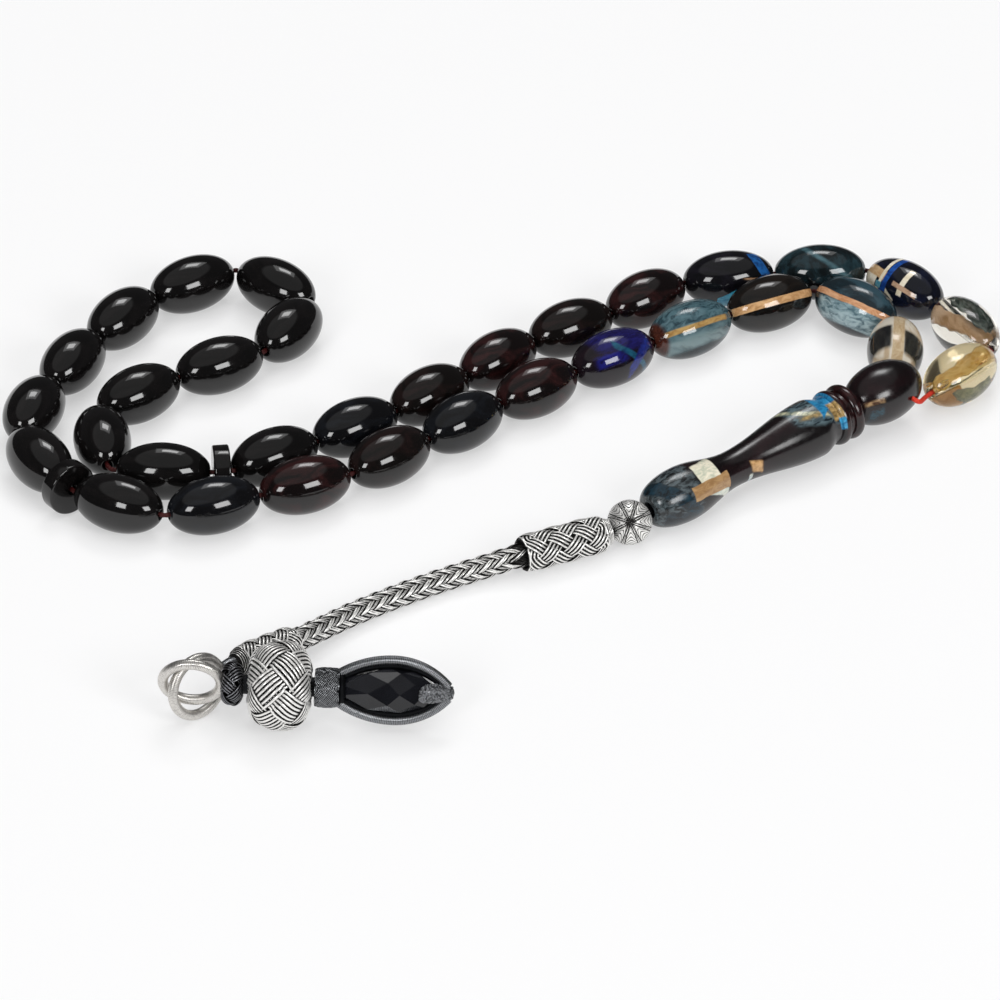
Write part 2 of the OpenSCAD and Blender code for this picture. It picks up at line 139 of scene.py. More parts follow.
corners = [(x * TABLE_HALF, y * TABLE_HALF, 0) for x, y in ((-1, -1), (1, -1), (1, 1), (-1, 1))]
mesh = bpy.data.meshes.new("table")
mesh.from_pydata(corners, [], [(0, 1, 2, 3)])
mesh.materials.append(pale_table())
table = bpy.data.objects.new("table", mesh)
scene.collection.objects.link(table)

world = bpy.data.worlds.new("room")
scene.world = world
world.use_nodes = True
world.node_tree.nodes.clear()
room = world.node_tree
outwards = add(room, "ShaderNodeTexCoord").outputs["Generated"]
height = add(room, "ShaderNodeSeparateXYZ", Vector=outwards).outputs["Z"]
ceiling = add(room, "ShaderNodeMapRange", {"interpolation_type": "SMOOTHSTEP"},
              Value=height, From_Min=0.7, From_Max=0.78).outputs[0]
shade = blend_colour(room, ceiling, ROOM_DIM, ROOM_ABOVE)
add(room, "ShaderNodeOutputWorld",
    Surface=add(room, "ShaderNodeBackground", Color=shade, Strength=1.0).outputs[0])


# %% Two windows, a soft box and a lamp for the table
def lamp(name, azimuth, elevation, wide, tall, radiance, distance=2.4):
    """A rectangular lamp of an angular size in degrees that faces the strand."""
    data = bpy.data.lights.new(name, "AREA")
    data.shape = "RECTANGLE"
    data.size = 2 * distance * math.tan(math.radians(wide / 2))
    data.size_y = 2 * distance * math.tan(math.radians(tall / 2))
    data.energy = radiance * math.pi * data.size * data.size_y
    a, e = math.radians(azimuth), math.radians(elevation)
    where = Vector((math.sin(a) * math.cos(e), -math.cos(a) * math.cos(e), math.sin(e)))
    lamp_object = bpy.data.objects.new(name, data)
    lamp_object.location = where * distance
    lamp_object.rotation_mode = "QUATERNION"
    lamp_object.rotation_quaternion = where.to_track_quat("Z", "Y")
    scene.collection.objects.link(lamp_object)
    print(name, "gives", round(data.energy, 1), "W")
    return lamp_object


lamp("window_left", azimuth=-28, elevation=31, wide=15, tall=18, radiance=10)
lamp("window_right", azimuth=40, elevation=30, wide=23, tall=18, radiance=10)
lamp("soft_box", azimuth=172, elevation=57, wide=17, tall=11, radiance=6.0)
lamp("soft_box_glow", azimuth=172, elevation=57, wide=30, tall=22, radiance=1.3, distance=2.6)
ceiling_fill = lamp("ceiling_fill", azimuth=0, elevation=86, wide=64, tall=64, radiance=1.3, distance=3.2)
ceiling_fill.visible_glossy = False

# %% [markdown]
# ## Meshes in code
# Every piece here is a shape that a maker would turn, sweep or plait, so three small helpers make
# them all: rings joined into a skin, a lathe about the x axis, and a round wire along a line.
# Working with whole numpy arrays keeps thousands of wire rings quick.


# %% Skins, lathes and wires
def join_rings(rows, sides, loop_rows, loop_sides=True):
    """Quads between neighbouring points of a rows x sides grid, facing outwards."""
    i = np.arange(rows if loop_rows else rows - 1)[:, None]
    k = np.arange(sides if loop_sides else sides - 1)[None, :]
    i2, k2 = (i + 1) % rows, (k + 1) % sides
    return np.stack([i * sides + k, i * sides + k2, i2 * sides + k2, i2 * sides + k], -1).reshape(-1, 4)


def unit(v):
    return v / np.maximum(np.linalg.norm(v, axis=-1, keepdims=True), 1e-12)


def full_turn(sides):
    """Even angles round a circle."""
    return 2 * np.pi * np.arange(sides) / sides


def circle(angle):
    """Unit directions round the x axis."""
    return np.stack([np.zeros(len(angle)), np.cos(angle), np.sin(angle)], -1)


def square_to(line, outward, closed):
    """Two directions square to a line at each of its points; the first is as near outward as can be."""
    along = unit(np.roll(line, -1, 0) - np.roll(line, 1, 0) if closed else np.gradient(line, axis=0))
    normal = unit(outward - (outward * along).sum(-1, keepdims=True) * along)
    return normal, np.cross(along, normal)


def spokes(angle, normal, side):
    """Directions round each point of a line, from its normal towards its side."""
    return np.cos(angle)[None, :, None] * normal[:, None] + np.sin(angle)[None, :, None] * side[:, None]


def end_caps(rows, sides):
    """The two end faces of a tube."""
    last = (rows - 1) * sides
    return [list(range(sides))[::-1], list(range(last, last + sides))]


def wire(line, outward, radius, sides=6, closed=False, bright=1.0):
    """A round wire along a line. Its 'ridge' value is 1 on the side that faces outwards."""
    normal, side = square_to(line, outward, closed)
    angle = full_turn(sides)
    radius = np.broadcast_to(np.asarray(radius, float), len(line))[:, None, None]
    points = (line[:, None] + radius * spokes(angle, normal, side)).reshape(-1, 3)
    faces = join_rings(len(line), sides, closed).tolist()
    if not closed:
        faces += end_caps(len(line), sides)
    ridge = np.clip(np.cos(angle), 0, 1)[None] * np.broadcast_to(bright, len(line))[:, None]
    return points, faces, ridge.reshape(-1)


def together(parts):
    """Several skins as one."""
    points, faces, ridge, start = [], [], [], 0
    for p, f, r in parts:
        points.append(p)
        faces += [[v + start for v in face] for face in f]
        ridge.append(np.broadcast_to(r, len(p)))
        start += len(p)
    return np.concatenate(points), faces, np.concatenate(ridge)


def lathe(profile, sides=72):
    """Turns a closed outline of (x, radius) points about the x axis."""
    profile = np.array(profile, float)
    ring = circle(full_turn(sides))
    points = profile[:, None, :1] * [1, 0, 0] + profile[:, None, 1:] * ring[None]
    faces = join_rings(len(profile), sides, True).tolist()
    return points.reshape(-1, 3), faces, np.ones(len(profile) * sides)


def piece(name, skin, material, body, stands_for=(), place=None, sharp=None, smooth=True):
    """Makes a skin, measured in millimetres, into a piece that rides on a body."""
    points, faces, ridge = skin
    mesh = bpy.data.meshes.new(name)
    mesh.from_pydata((np.asarray(points) * MM).tolist(), [], faces)
    mesh.attributes.new("ridge", "FLOAT", "POINT").data.foreach_set("value", np.asarray(ridge, np.float32))
    mesh.materials.append(material)
    mesh.polygons.foreach_set("use_smooth", [smooth] * len(mesh.polygons))
    if sharp:
        mesh.set_sharp_from_angle(angle=math.radians(sharp))
    made = bpy.data.objects.new(name, mesh)
    scene.collection.objects.link(made)
    if place is not None:
        made.matrix_world = place
    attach(made, body)
    if stands_for:
        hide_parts(*stands_for)
    return made


STRAND_SHIFT = (-0.774159, 1.46311)


def spot(x, y, z):
    """A place on the table, in millimetres, moved so that the strand's middle is the origin."""
    return np.array([x + STRAND_SHIFT[0], y + STRAND_SHIFT[1], z])


def facing(at, axis, front=TO_CAMERA):
    """A place for a turned piece: x along its axis, and z as near to the front as it can be."""
    x = Vector(axis).normalized()
    z = (Vector(front) - Vector(front).dot(x) * x).normalized()
    turn = Matrix((x, z.cross(x), z)).transposed().to_4x4()
    return Matrix.Translation(Vector(at)) @ turn


print("helpers ready")

# %% [markdown]
# ## The red string
# The string is a free cord of about half a metre. It leaves one side of the leader's head, runs through
# all 33 beads and both discs, and goes back in at the other side.
# It shows only in the small gaps, as a twisted thread. Its line goes straight through each bore and
# bends between two mouths, so it is made from the beads' own places in the frame.
# The thread is a two-lobed outline that turns as it is swept.

# %% Where the beads are, and the string's line
BEAD_LENGTH, DISC_THICKNESS = 14.5, 2.6
STRING_RADIUS, STRING_STEP = 0.4, 0.25
ORDER = [f"bead_{i:02d}" for i in range(1, 34)]
ORDER.insert(11, "disc_1")
ORDER.insert(23, "disc_2")
centres = {n: np.array(JOINTS[n + "_spin"]["pos_m"]) / MM for n in ORDER}
axes = {n: unit(np.array(JOINTS[n + "_spin"]["axis"])) for n in ORDER}


def bend_between(a, along_a, b, along_b, pull, steps):
    """Points on an easy curve from a to b that starts and ends along the given directions."""
    t = np.linspace(0, 1, steps)[:, None]
    c, d = a + pull * along_a, b - pull * along_b
    return (1 - t) ** 3 * a + 3 * t * (1 - t) ** 2 * c + 3 * t * t * (1 - t) * d + t ** 3 * b


def mouth(name, side):
    """Where the bore of a bead or disc opens, before it (-1) or after it (1)."""
    length = BEAD_LENGTH if name.startswith("bead") else DISC_THICKNESS
    return centres[name] + side * length / 2 * axes[name]


leave_head = [spot(*p) for p in ((62, 22.18, 6.55), (64.9, 18.6, 6.55), (65.48, 18.32, 6.34),
                                 (65.87, 19.06, 5.83), (66.25, 20.45, 5.22), (66.82, 22.11, 4.71))]
enter_head = [spot(*p) for p in ((61.68, 27.8, 4.71), (60.59, 27.28, 5.22), (59.42, 27.05, 5.83),
                                 (58.64, 26.8, 6.34), (58.73, 26.22, 6.55), (61.62, 22.64, 6.55))]
line = list(leave_head)
for here, after in zip(ORDER, ORDER[1:] + [None]):
    line += [mouth(here, -1), centres[here], mouth(here, 1)]
    if after:
        gap = np.linalg.norm(mouth(after, -1) - mouth(here, 1))
        bend = bend_between(mouth(here, 1), axes[here], mouth(after, -1), axes[after], gap * 0.4, 5)
        line += list(bend[1:-1])
line = np.array(line + enter_head)


def even(points, spacing):
    """The same line with points an even distance apart."""
    run = np.concatenate([[0], np.cumsum(np.linalg.norm(np.diff(points, axis=0), axis=1))])
    at = np.linspace(0, run[-1], int(run[-1] / spacing) + 1)
    return np.stack([np.interp(at, run, points[:, k]) for k in range(3)], -1)


string_line = even(line, STRING_STEP)


# %% Worn silver and the thread's red
def group(name, inputs, outputs):
    """A new shader node group with named inputs and outputs."""
    tree = bpy.data.node_groups.new(name, "ShaderNodeTree")
    for label, kind, start in inputs:
        made = tree.interface.new_socket(name=label, in_out="INPUT", socket_type="NodeSocket" + kind)
        if start is not None:
            made.default_value = start
    for label, kind in outputs:
        tree.interface.new_socket(name=label, in_out="OUTPUT", socket_type="NodeSocket" + kind)
    return tree, tree.nodes.new("NodeGroupInput").outputs, tree.nodes.new("NodeGroupOutput").inputs


def use(tree, made, **sockets):
    """Places a group in a material's tree, and returns its outputs."""
    return add(tree, "ShaderNodeGroup", {"node_tree": made}, **sockets).outputs


def material_with(name, **sockets):
    """A material with one Principled BSDF; plain values are set on its own sockets."""
    material = bpy.data.materials.new(name)
    material.use_nodes = True
    tree = material.node_tree
    shader = next(n for n in tree.nodes if n.type == "BSDF_PRINCIPLED")
    for key, value in sockets.items():
        shader.inputs[key.replace("_", " ")].default_value = value
    return material, tree, shader


worn, given, out = group("blackened recesses", [
    ("Ridge", "Float", 0.5), ("Bright", "Color", (0.8, 0.8, 0.8, 1)),
    ("Black", "Color", (0.02, 0.02, 0.02, 1)), ("Grain", "Float", 30.0)],
    [("Color", "Color"), ("Roughness", "Float")])
grain = add(worn, "ShaderNodeTexNoise", Vector=add(worn, "ShaderNodeTexCoord").outputs["Object"],
            Scale=maths(worn, "MULTIPLY", given["Grain"], 100.0), Detail=3.0).outputs[0]
speckle = maths(worn, "MULTIPLY", maths(worn, "SUBTRACT", grain, 0.5), 0.3)
level = maths(worn, "ADD", given["Ridge"], speckle)
shine = add(worn, "ShaderNodeMapRange", {"interpolation_type": "SMOOTHSTEP"}, Value=level,
            From_Min=0.6, From_Max=0.84).outputs[0]
worn.links.new(blend_colour(worn, shine, given["Black"], given["Bright"]), out["Color"])
rough = add(worn, "ShaderNodeMapRange", Value=shine, To_Min=0.6, To_Max=0.3).outputs[0]
worn.links.new(rough, out["Roughness"])


def silver_finish(name, bright, black, grain_size=30.0, metallic=1.0):
    """Silver that is bright on the ridges of its wires and black between them."""
    material, tree, shader = material_with(name, Metallic=metallic)
    ridge = add(tree, "ShaderNodeAttribute", {"attribute_name": "ridge"}).outputs["Fac"]
    finish = use(tree, worn, Ridge=ridge, Bright=rgb(bright), Black=rgb(black), Grain=grain_size)
    tree.links.new(finish["Color"], shader.inputs["Base Color"])
    tree.links.new(finish["Roughness"], shader.inputs["Roughness"])
    return material


SILVER = silver_finish("worn silver", "f6f5f2", "100f0d", metallic=0.6)
OLD_SILVER = silver_finish("blackened silver", "8f9194", "1b1c1e")
LOOP_SILVER = silver_finish("wrapped silver", "dedbd6", "3d362f", metallic=0.95)


def thread_red():
    """Red fibres with painted shade: dark where the thread runs through the beads, and bright near its two
    ends.
    """
    material, tree, shader = material_with("red thread", Roughness=0.65, Specular_IOR_Level=0.3)
    where = add(tree, "ShaderNodeTexCoord").outputs["Object"]
    fibre = add(tree, "ShaderNodeTexNoise", Vector=where, Scale=6000.0, Detail=2.0).outputs[0]
    unshaded = add(tree, "ShaderNodeAttribute", {"attribute_name": "ridge"}).outputs["Fac"]
    bright = blend_colour(tree, fibre, rgb("a81c14"), rgb("e8452c"))
    # Painted shade: the thread turns dark red where the beads shade it.
    tree.links.new(blend_colour(tree, unshaded, rgb("3a0a09"), bright), shader.inputs["Base Color"])
    return material


# %% The twisted thread
def twisted_thread(line, radius, turn_length, sides=12):
    """A two-lobed thread along a line. Its 'ridge' value is painted shade: 1 near the ends, falling away from
    them.
    """
    along = unit(np.gradient(line, axis=0))
    side = unit(np.cross([0, 0, 1.0], along))
    top = np.cross(along, side)
    run = np.arange(len(line)) * STRING_STEP
    angle = full_turn(sides)
    lobe = radius * (0.8 + 0.2 * np.abs(np.cos(angle[None] - 2 * np.pi * run[:, None] / turn_length)))
    points = (line[:, None] + lobe[..., None] * spokes(angle, side, top)).reshape(-1, 3)
    faces = join_rings(len(line), sides, False).tolist() + end_caps(len(line), sides)
    # Painted shade: full brightness within about 8 mm of each end, dark from about 33 mm in, where the beads
    # shade the thread.
    unshaded = np.clip(1.3 - np.minimum(run, run[-1] - run) / 25, 0, 1)
    return points, faces, np.repeat(unshaded, sides)


thread = piece("bead_thread", twisted_thread(string_line, STRING_RADIUS, 1.6), thread_red(), "strand",
               ["bead_string"])
print("thread:", len(thread.data.polygons), "faces")

# %% [markdown]
# ## The silver rope
# The rope is a round chain of wire loops, each pushed through the one before. Round it stand eight
# columns of slanting wires that lean to and fro, like a herringbone.
# Each slanting wire rises out of the rope at one end, shows its back, and dives under its neighbour.
# So the rope is a dark core with short round wires laid on it, and is a cord with a line of its own.

# %% The rope's line and its slanting wires
ROPE_POINTS = [(13.8, -14.95, 3.2), (3.43, -19.94, 3.2), (0.76, -20.95, 2.88), (-2, -21.9, 2.4),
               (-4.9, -23.15, 2.15), (-8, -24.7, 2), (-11.38, -26.69, 1.96), (-15, -29.1, 2),
               (-18.93, -31.92, 2.06), (-23, -35.3, 2.3), (-27.36, -39.82, 2.88), (-31.18, -44.1, 3.66),
               (-36.87, -50.35, 5.26)]
ROPE_RADIUS, ROPE_STEP = 1.9, 0.1
SLEEVE_HOLDS = 11.0
# Of each pair of wires: thickness, distance apart, depth below the bright pair, and brightness.
BRIGHT_PAIR = (0.27, 0.52, 0.0, 1.0)
SUNKEN_PAIR = (0.19, 0.34, 0.2, 0.8)


def smooth_line(points, spacing):
    """A round line through all the points, which bends evenly."""
    p = np.array([2 * points[0] - points[1]] + list(points) + [2 * points[-1] - points[-2]])
    made = []
    for a, b, c, d in zip(p, p[1:], p[2:], p[3:]):
        made += list(bend_between(b, (c - a) / 6, c, (d - b) / 6, 1, 12)[:-1])
    return even(np.array(made + [points[-1]]), spacing)


rope_line = smooth_line([spot(*p) for p in ROPE_POINTS], ROPE_STEP)
rope_along = unit(np.gradient(rope_line, axis=0))
rope_front = unit(np.array(TO_CAMERA) - (rope_along @ np.array(TO_CAMERA))[:, None] * rope_along)
rope_side = np.cross(rope_along, rope_front)
rope_length = (len(rope_line) - 1) * ROPE_STEP


def on_rope(run, angle, radius):
    """Points and outward directions on the rope, from the run along it, the angle round it and the radius."""
    at = np.clip(np.asarray(run) / ROPE_STEP, 0, len(rope_line) - 1)

    def pick(values):
        return np.stack([np.interp(at, np.arange(len(values)), values[:, k]) for k in range(3)], -1)
    out = np.cos(angle)[:, None] * pick(rope_front) + np.sin(angle)[:, None] * pick(rope_side)
    return pick(rope_line) + np.asarray(radius)[:, None] * out, out


def herringbone(first, last, pitch=2.7, columns=8):
    """Doubled wires lean to and fro; a thinner, blacker pair lies between each bright pair."""
    parts = [wire(rope_line, rope_front, 1.45, 20, bright=0.2)]
    q = np.linspace(-1, 1, 11)
    for column in range(columns):
        lean = 1 if column % 2 else -1
        middle = 2 * np.pi * column / columns
        for start in np.arange(first + (column % 2) * pitch / 2, last, pitch / 2):
            main = round((start - first) / (pitch / 2)) % 2 == column % 2
            fade = np.clip(0.6 + (start - SLEEVE_HOLDS) / 6, 0.6, 1)
            thickness, apart, depth, bright = BRIGHT_PAIR if main else SUNKEN_PAIR
            for aside in (-0.5, 0.5):
                run = start + 1.5 * q + aside * apart
                thick = thickness * (1 - 0.25 * q ** 2)
                top = ROPE_RADIUS - thick - depth - 0.4 * np.abs(q) ** 2.2
                points, out = on_rope(run, middle + lean * q * math.radians(29), top)
                shaded = 0.9 if main and aside < 0 else 1.0
                shown = fade * bright * (1 - 0.25 * q ** 4) * shaded
                parts.append(wire(points, out, thick, 7, bright=shown))
    return together(parts)


rope = piece("woven_rope", herringbone(1.6, rope_length - 1.7), SILVER, "strand", ["silver_rope"])
print("rope:", round(rope_length, 1), "mm,", len(rope.data.polygons), "faces")

# %% [markdown]
# ## Woven sleeves and knots
# The sleeves and knots are Turk's heads: a band of wires goes round and round while it swings
# from one end to the other, and passes over and under itself in turn.
# One formula gives the whole band. With `leads` turns and `bights` swings, the band is over when
# `cos(leads * u)` is negative on its way out and under on its way back.
# Parallel wires are drawn beside that line, on any surface of revolution.


# %% A Turk's head on a turned surface
def turks_head(surface, bights, leads, wires, pitch, thick, lift, reach=0.94, samples=1200, bend=0.93,
               sides=6):
    """Wires side by side along one endless band. surface(v) gives (x, radius) for v between -1 and 1."""
    turn = np.linspace(0, 2 * np.pi * leads, samples, endpoint=False)
    u = bights * turn / leads
    v = reach * np.arcsin(bend * np.cos(u)) / np.arcsin(bend)
    over = -np.cos(leads * u) * np.tanh(4 * np.sin(u))
    x, r = surface(v)
    dx, dr = (np.array(surface(v + 1e-3)) - np.array(surface(v - 1e-3))) / 2e-3
    stretch = np.hypot(dx, dr)
    out_of_end = (np.roll(v, -1) - np.roll(v, 1)) / 2 * stretch
    round_it = r * (turn[1] - turn[0])
    size = np.hypot(out_of_end, round_it)
    out_of_end, round_it = out_of_end / size, round_it / size
    parts = []
    for k in range(wires):
        aside = (k - (wires - 1) / 2) * pitch
        angle = turn - aside * out_of_end / r
        place = np.clip(v + aside * round_it / stretch, -0.999, 0.999)
        px, pr = surface(place)
        ex, er = (np.array(surface(place + 1e-3)) - np.array(surface(place - 1e-3))) / 2e-3
        nx, nr = -er / np.hypot(ex, er), ex / np.hypot(ex, er)
        ring = circle(angle)
        outward = nx[:, None] * [1, 0, 0] + nr[:, None] * ring
        line = px[:, None] * [1, 0, 0] + pr[:, None] * ring + (lift * over)[:, None] * outward
        parts.append(wire(line, outward, thick, sides, True, 0.84 + 0.16 * (0.5 + 0.5 * over)))
    return together(parts)


def ring_of_wire(x, radius, thick, bright=0.8, sides=8, steps=64):
    """One turn of wire round the x axis."""
    out = circle(full_turn(steps))
    return wire(x * np.array([[1, 0, 0]]) + radius * out, out, thick, sides, True, bright)


def dark_core(profile, sides=48):
    """A turned core that stays black between the wires on it."""
    points, faces, _ = lathe(profile, sides)
    return points, faces, np.zeros(len(points))


# %% The two sleeves
def along_axis(at, direction):
    """A place, from millimetres, whose x axis points in a direction."""
    return facing(np.asarray(at) * MM, direction)


SLEEVE_TURN = math.radians(205.7)
sleeve_dir = np.array([math.cos(SLEEVE_TURN), math.sin(SLEEVE_TURN), 0])
upper_from = spot(16.5, -13.65, 3.2)
lower_from = spot(-31.177, -44.104, 3.662)
lower_dir = unit(np.array([-10.3, -11.3, 2.9]))


def sleeve_skin(width, length, taper, coils, thick, pitch, bights):
    """A plaited sleeve from its open end at x = 0 to x = length, with wire coils at its closed end."""
    radius = width / 2 - 2 * thick - 0.04

    def surface(v):
        x = (length - taper) / 2 * (1 + v) + 0.1
        return x, radius - 0.1 * np.abs(v) ** 8
    parts = [turks_head(surface, bights, 7, 4, pitch, thick, thick, samples=1300, sides=7)]
    end = length - taper
    parts.append(dark_core([(0.1, radius - 0.1), (end, radius - 0.25), (length, radius - 0.9), (length, 1.2),
                            (0.1, radius - 0.3)]))
    parts += [ring_of_wire(end + 0.3 * k, radius - 0.08 - 0.16 * k, 0.15, 0.9) for k in range(coils)]
    parts.append(ring_of_wire(0.12, radius - 0.12, 0.17, 0.8))
    return together(parts)


upper_mouth = upper_from + 14.5 * sleeve_dir
upper = piece("plaited_upper_sleeve", sleeve_skin(6.2, 14.75, 1.4, 5, 0.25, 0.56, 5), SILVER, "strand",
              ["upper_sleeve"], along_axis(upper_mouth, -sleeve_dir))
lower = piece("plaited_lower_sleeve", sleeve_skin(5.3, 13, 1.8, 5, 0.23, 0.54, 4), SILVER, "strand",
              ["lower_sleeve"], along_axis(lower_from, lower_dir))
print("sleeves:", len(upper.data.polygons), "and", len(lower.data.polygons), "faces")

# %% [markdown]
# ## The drop: knots, loops, frame and stone
# Everything on the drop turns as one body, round the bottom of the rope's loop.
# Its pieces share one local frame: x runs from the loop to the tip.
# The loops and the pointed frame are thick cords wrapped in very fine wire, so each is a tube whose
# radius rises and falls once for every turn of the wrapping.
# A black wire, painted shade, fills the step between the frame and the stone, and a plug closes the neck
# behind it.
# At the tip a low tongue with silver grains lies over the stone.

# %% Places on the drop
DROP_AT = spot(-32.6, -60.3, 6.95)
DROP_DIP, DROP_TURN, FRAME_ROLL = (math.radians(a) for a in (1.5, -2, 68))
drop = (Matrix.Translation(Vector(DROP_AT) * MM) @ Matrix.Rotation(DROP_TURN, 4, "Z")
        @ Matrix.Rotation(DROP_DIP, 4, "Y"))
framed = drop @ Matrix.Rotation(FRAME_ROLL, 4, "X")
KNOT_LENGTH, KNOT_WIDTH = 10.1, 13.8


def knot_surface(length, width, inset):
    """A squat round surface for a knot, a little inside its outside sizes."""
    def surface(v):
        a = v * math.radians(86)
        c, s = np.cos(a), np.sin(a)
        x = (length / 2 - inset) * np.sign(s) * np.abs(s) ** 0.9
        return x, (width / 2 - inset) * np.maximum(c, 0.02) ** 0.62
    return surface


def knot_core(length, width, inset, hole):
    """The black inside of a knot, with a hole for the core that it is threaded on."""
    surface = knot_surface(length, width, inset)
    outline = [surface(np.float64(v)) for v in np.linspace(-0.93, 0.93, 25)]
    return dark_core(outline + [(outline[-1][0], hole), (outline[0][0], hole)])


big = together([turks_head(knot_surface(KNOT_LENGTH, KNOT_WIDTH, 0.72), 6, 5, 7, 0.6, 0.29, 0.36, 0.93, 1500,
                           0.85, 8),
                knot_core(KNOT_LENGTH, KNOT_WIDTH, 1.45, 1.5)])
big_knot = piece("big_woven_knot", big, SILVER, "drop", ["big_knot"], drop)
small = together([turks_head(knot_surface(3.8, 6.8, 0.45), 5, 3, 5, 0.4, 0.2, 0.22, 0.93, 700, 0.85),
                  knot_core(3.8, 6.8, 0.95, 1.5)])
small_knot = piece("small_woven_knot", small, silver_finish("dulled silver", "85868a", "101011"), "drop",
                   ["small_knot"], drop @ Matrix.Translation(Vector((-7.05, 0, 0)) * MM))
print("knots:", len(big_knot.data.polygons), "and", len(small_knot.data.polygons), "faces")


# %% Cords wrapped in fine wire
def wrapped(line, outward, radius, wrap=0.24, closed=False, sides=20, depth=0.018, shade=0.71):
    """A cord wound with fine wire: one ridge for each turn of the winding, which climbs as it goes round."""
    normal, side = square_to(line, outward, closed)
    step = np.linalg.norm(np.diff(line, axis=0), axis=1)
    run = np.concatenate([[0], np.cumsum(step)])
    total = run[-1] + (np.linalg.norm(line[0] - line[-1]) if closed else 0)
    turns = round(total / wrap)
    angle = full_turn(sides)
    wave = 0.5 + 0.5 * np.cos(2 * np.pi * turns * run[:, None] / total + angle[None])
    reach = radius - depth * (1 - wave)
    points = (line[:, None] + reach[..., None] * spokes(angle, normal, side)).reshape(-1, 3)
    faces = join_rings(len(line), sides, closed).tolist()
    if not closed:
        faces += end_caps(len(line), sides)
    return points, faces, (shade + (1 - shade) * wave).reshape(-1)


def wrapped_loop(radius, thick, wrap=0.24):
    """A closed ring of wrapped cord, with six points for each turn of the wrapping."""
    steps = int(2 * math.pi * radius / wrap) * 6
    angle = full_turn(steps)
    out = np.stack([np.cos(angle), np.sin(angle), np.zeros(steps)], -1)
    return wrapped(radius * out, out, thick, wrap, True)


ROPE_LOOP_AT = spot(-44.9375, -58.1412, 5.2942)
rope_loop_place = (Matrix.Translation(Vector(ROPE_LOOP_AT) * MM) @ Matrix.Rotation(math.radians(-50), 4, "Z")
                   @ Matrix.Rotation(math.radians(82), 4, "Y"))
rope_loop = piece("wrapped_rope_loop", wrapped_loop(4.5, 0.8), LOOP_SILVER, "strand", ["rope_loop"],
                  rope_loop_place)
stem_from, stem_to = lower_from + 11.5 * lower_dir, spot(-41.2375, -55.1412, 6.4942)
stem_line = even(np.array([stem_from, stem_to]), 0.06)
stem_radius = np.interp(np.linspace(0, 1, len(stem_line)), [0, 0.6, 1], [1.3, 1.2, 0.95])[:, None]
UPWARDS = np.array([[0, 0, 1.0]])
piece("wrapped_loop_stem", wrapped(stem_line, UPWARDS, stem_radius), OLD_SILVER, "strand")
pendant_loop = piece("wrapped_pendant_loop", wrapped_loop(4.3, 0.8), LOOP_SILVER, "drop",
                     ["pendant_loop"], drop @ Matrix.Translation(Vector((-13.05, 0, 0)) * MM)
                     @ Matrix.Rotation(math.radians(108), 4, "X"))
print("loops:", len(rope_loop.data.polygons), "and", len(pendant_loop.data.polygons), "faces")

# %% The neck band and the pointed frame
BAND_FROM, BAND_LENGTH, FRAME_LENGTH, FRAME_WIDTH, FRAME_CORD = 5.15, 3.8, 17.2, 10.6, 1.5
band_to = BAND_FROM + BAND_LENGTH
tip_x = band_to + FRAME_LENGTH
arc_mid = band_to + 0.46 * FRAME_LENGTH
arc_y = (FRAME_WIDTH - FRAME_CORD) / 2


def frame_line(sign):
    """The middle of one arched cord of the frame, from inside the band to the tip."""
    run, run2 = arc_mid - band_to, tip_x - 1.2 - arc_mid
    r1 = (run ** 2 + (arc_y - 2.3) ** 2) / (2 * (arc_y - 2.3))
    r2 = (run2 ** 2 + (arc_y - 0.9) ** 2) / (2 * (arc_y - 0.9))
    back, forth = math.asin((run + 1.2) / r1), math.asin(run2 / r2)
    a1, a2 = np.linspace(back, 0, 240)[:-1], np.linspace(0, forth, 260)
    x = np.concatenate([arc_mid - r1 * np.sin(a1), arc_mid + r2 * np.sin(a2)])
    y = np.concatenate([arc_y - r1 * (1 - np.cos(a1)), arc_y - r2 * (1 - np.cos(a2))])
    return np.stack([x, sign * y, np.zeros_like(x)], -1)


def frame_side(sign):
    return wrapped(frame_line(sign), UPWARDS, FRAME_CORD / 2, 0.26, sides=16, depth=0.03, shade=0.66)


def band_surface(v):
    return band_to - BAND_LENGTH / 2 + 1.75 * v, 2.68 + 0.12 * (1 - v ** 2)


band_skin = together([turks_head(band_surface, 9, 4, 6, 0.24, 0.13, 0.12, 0.8, 1100),
                      dark_core([(BAND_FROM + 0.1, 2.55), (band_to - 0.05, 2.55), (band_to - 0.05, 1.5),
                                 (BAND_FROM + 0.1, 1.5)]),
                      dark_core([(band_to - 0.1, 2.4), (band_to + 0.7, 2.1), (band_to + 0.7, 0.1),
                                 (band_to - 0.1, 0.1)])]
                     + [ring_of_wire(x, 2.62, 0.2, 0.7) for x in (BAND_FROM + 0.25, band_to - 0.25)])
piece("braided_neck_band", band_skin, OLD_SILVER, "drop", ["neck_band"], framed)
gap_shade_wires = []
# Painted shade: a black wire along the inside of each cord fills the shadowed gap between the frame and the
# stone.
for side in (1, -1):
    edge = frame_line(side)[30:486:6]
    edge[:, 1] -= side * (FRAME_CORD / 2 + 0.12)
    gap_shade_wires.append(wire(edge, UPWARDS, 0.48, 8, bright=0.1))
frame_skin = together([frame_side(1), frame_side(-1)] + gap_shade_wires)
pointed_frame = piece("wrapped_pointed_frame", frame_skin, OLD_SILVER, "drop", ["stone_frame"],
                      framed)
print("frame:", len(pointed_frame.data.polygons), "faces")


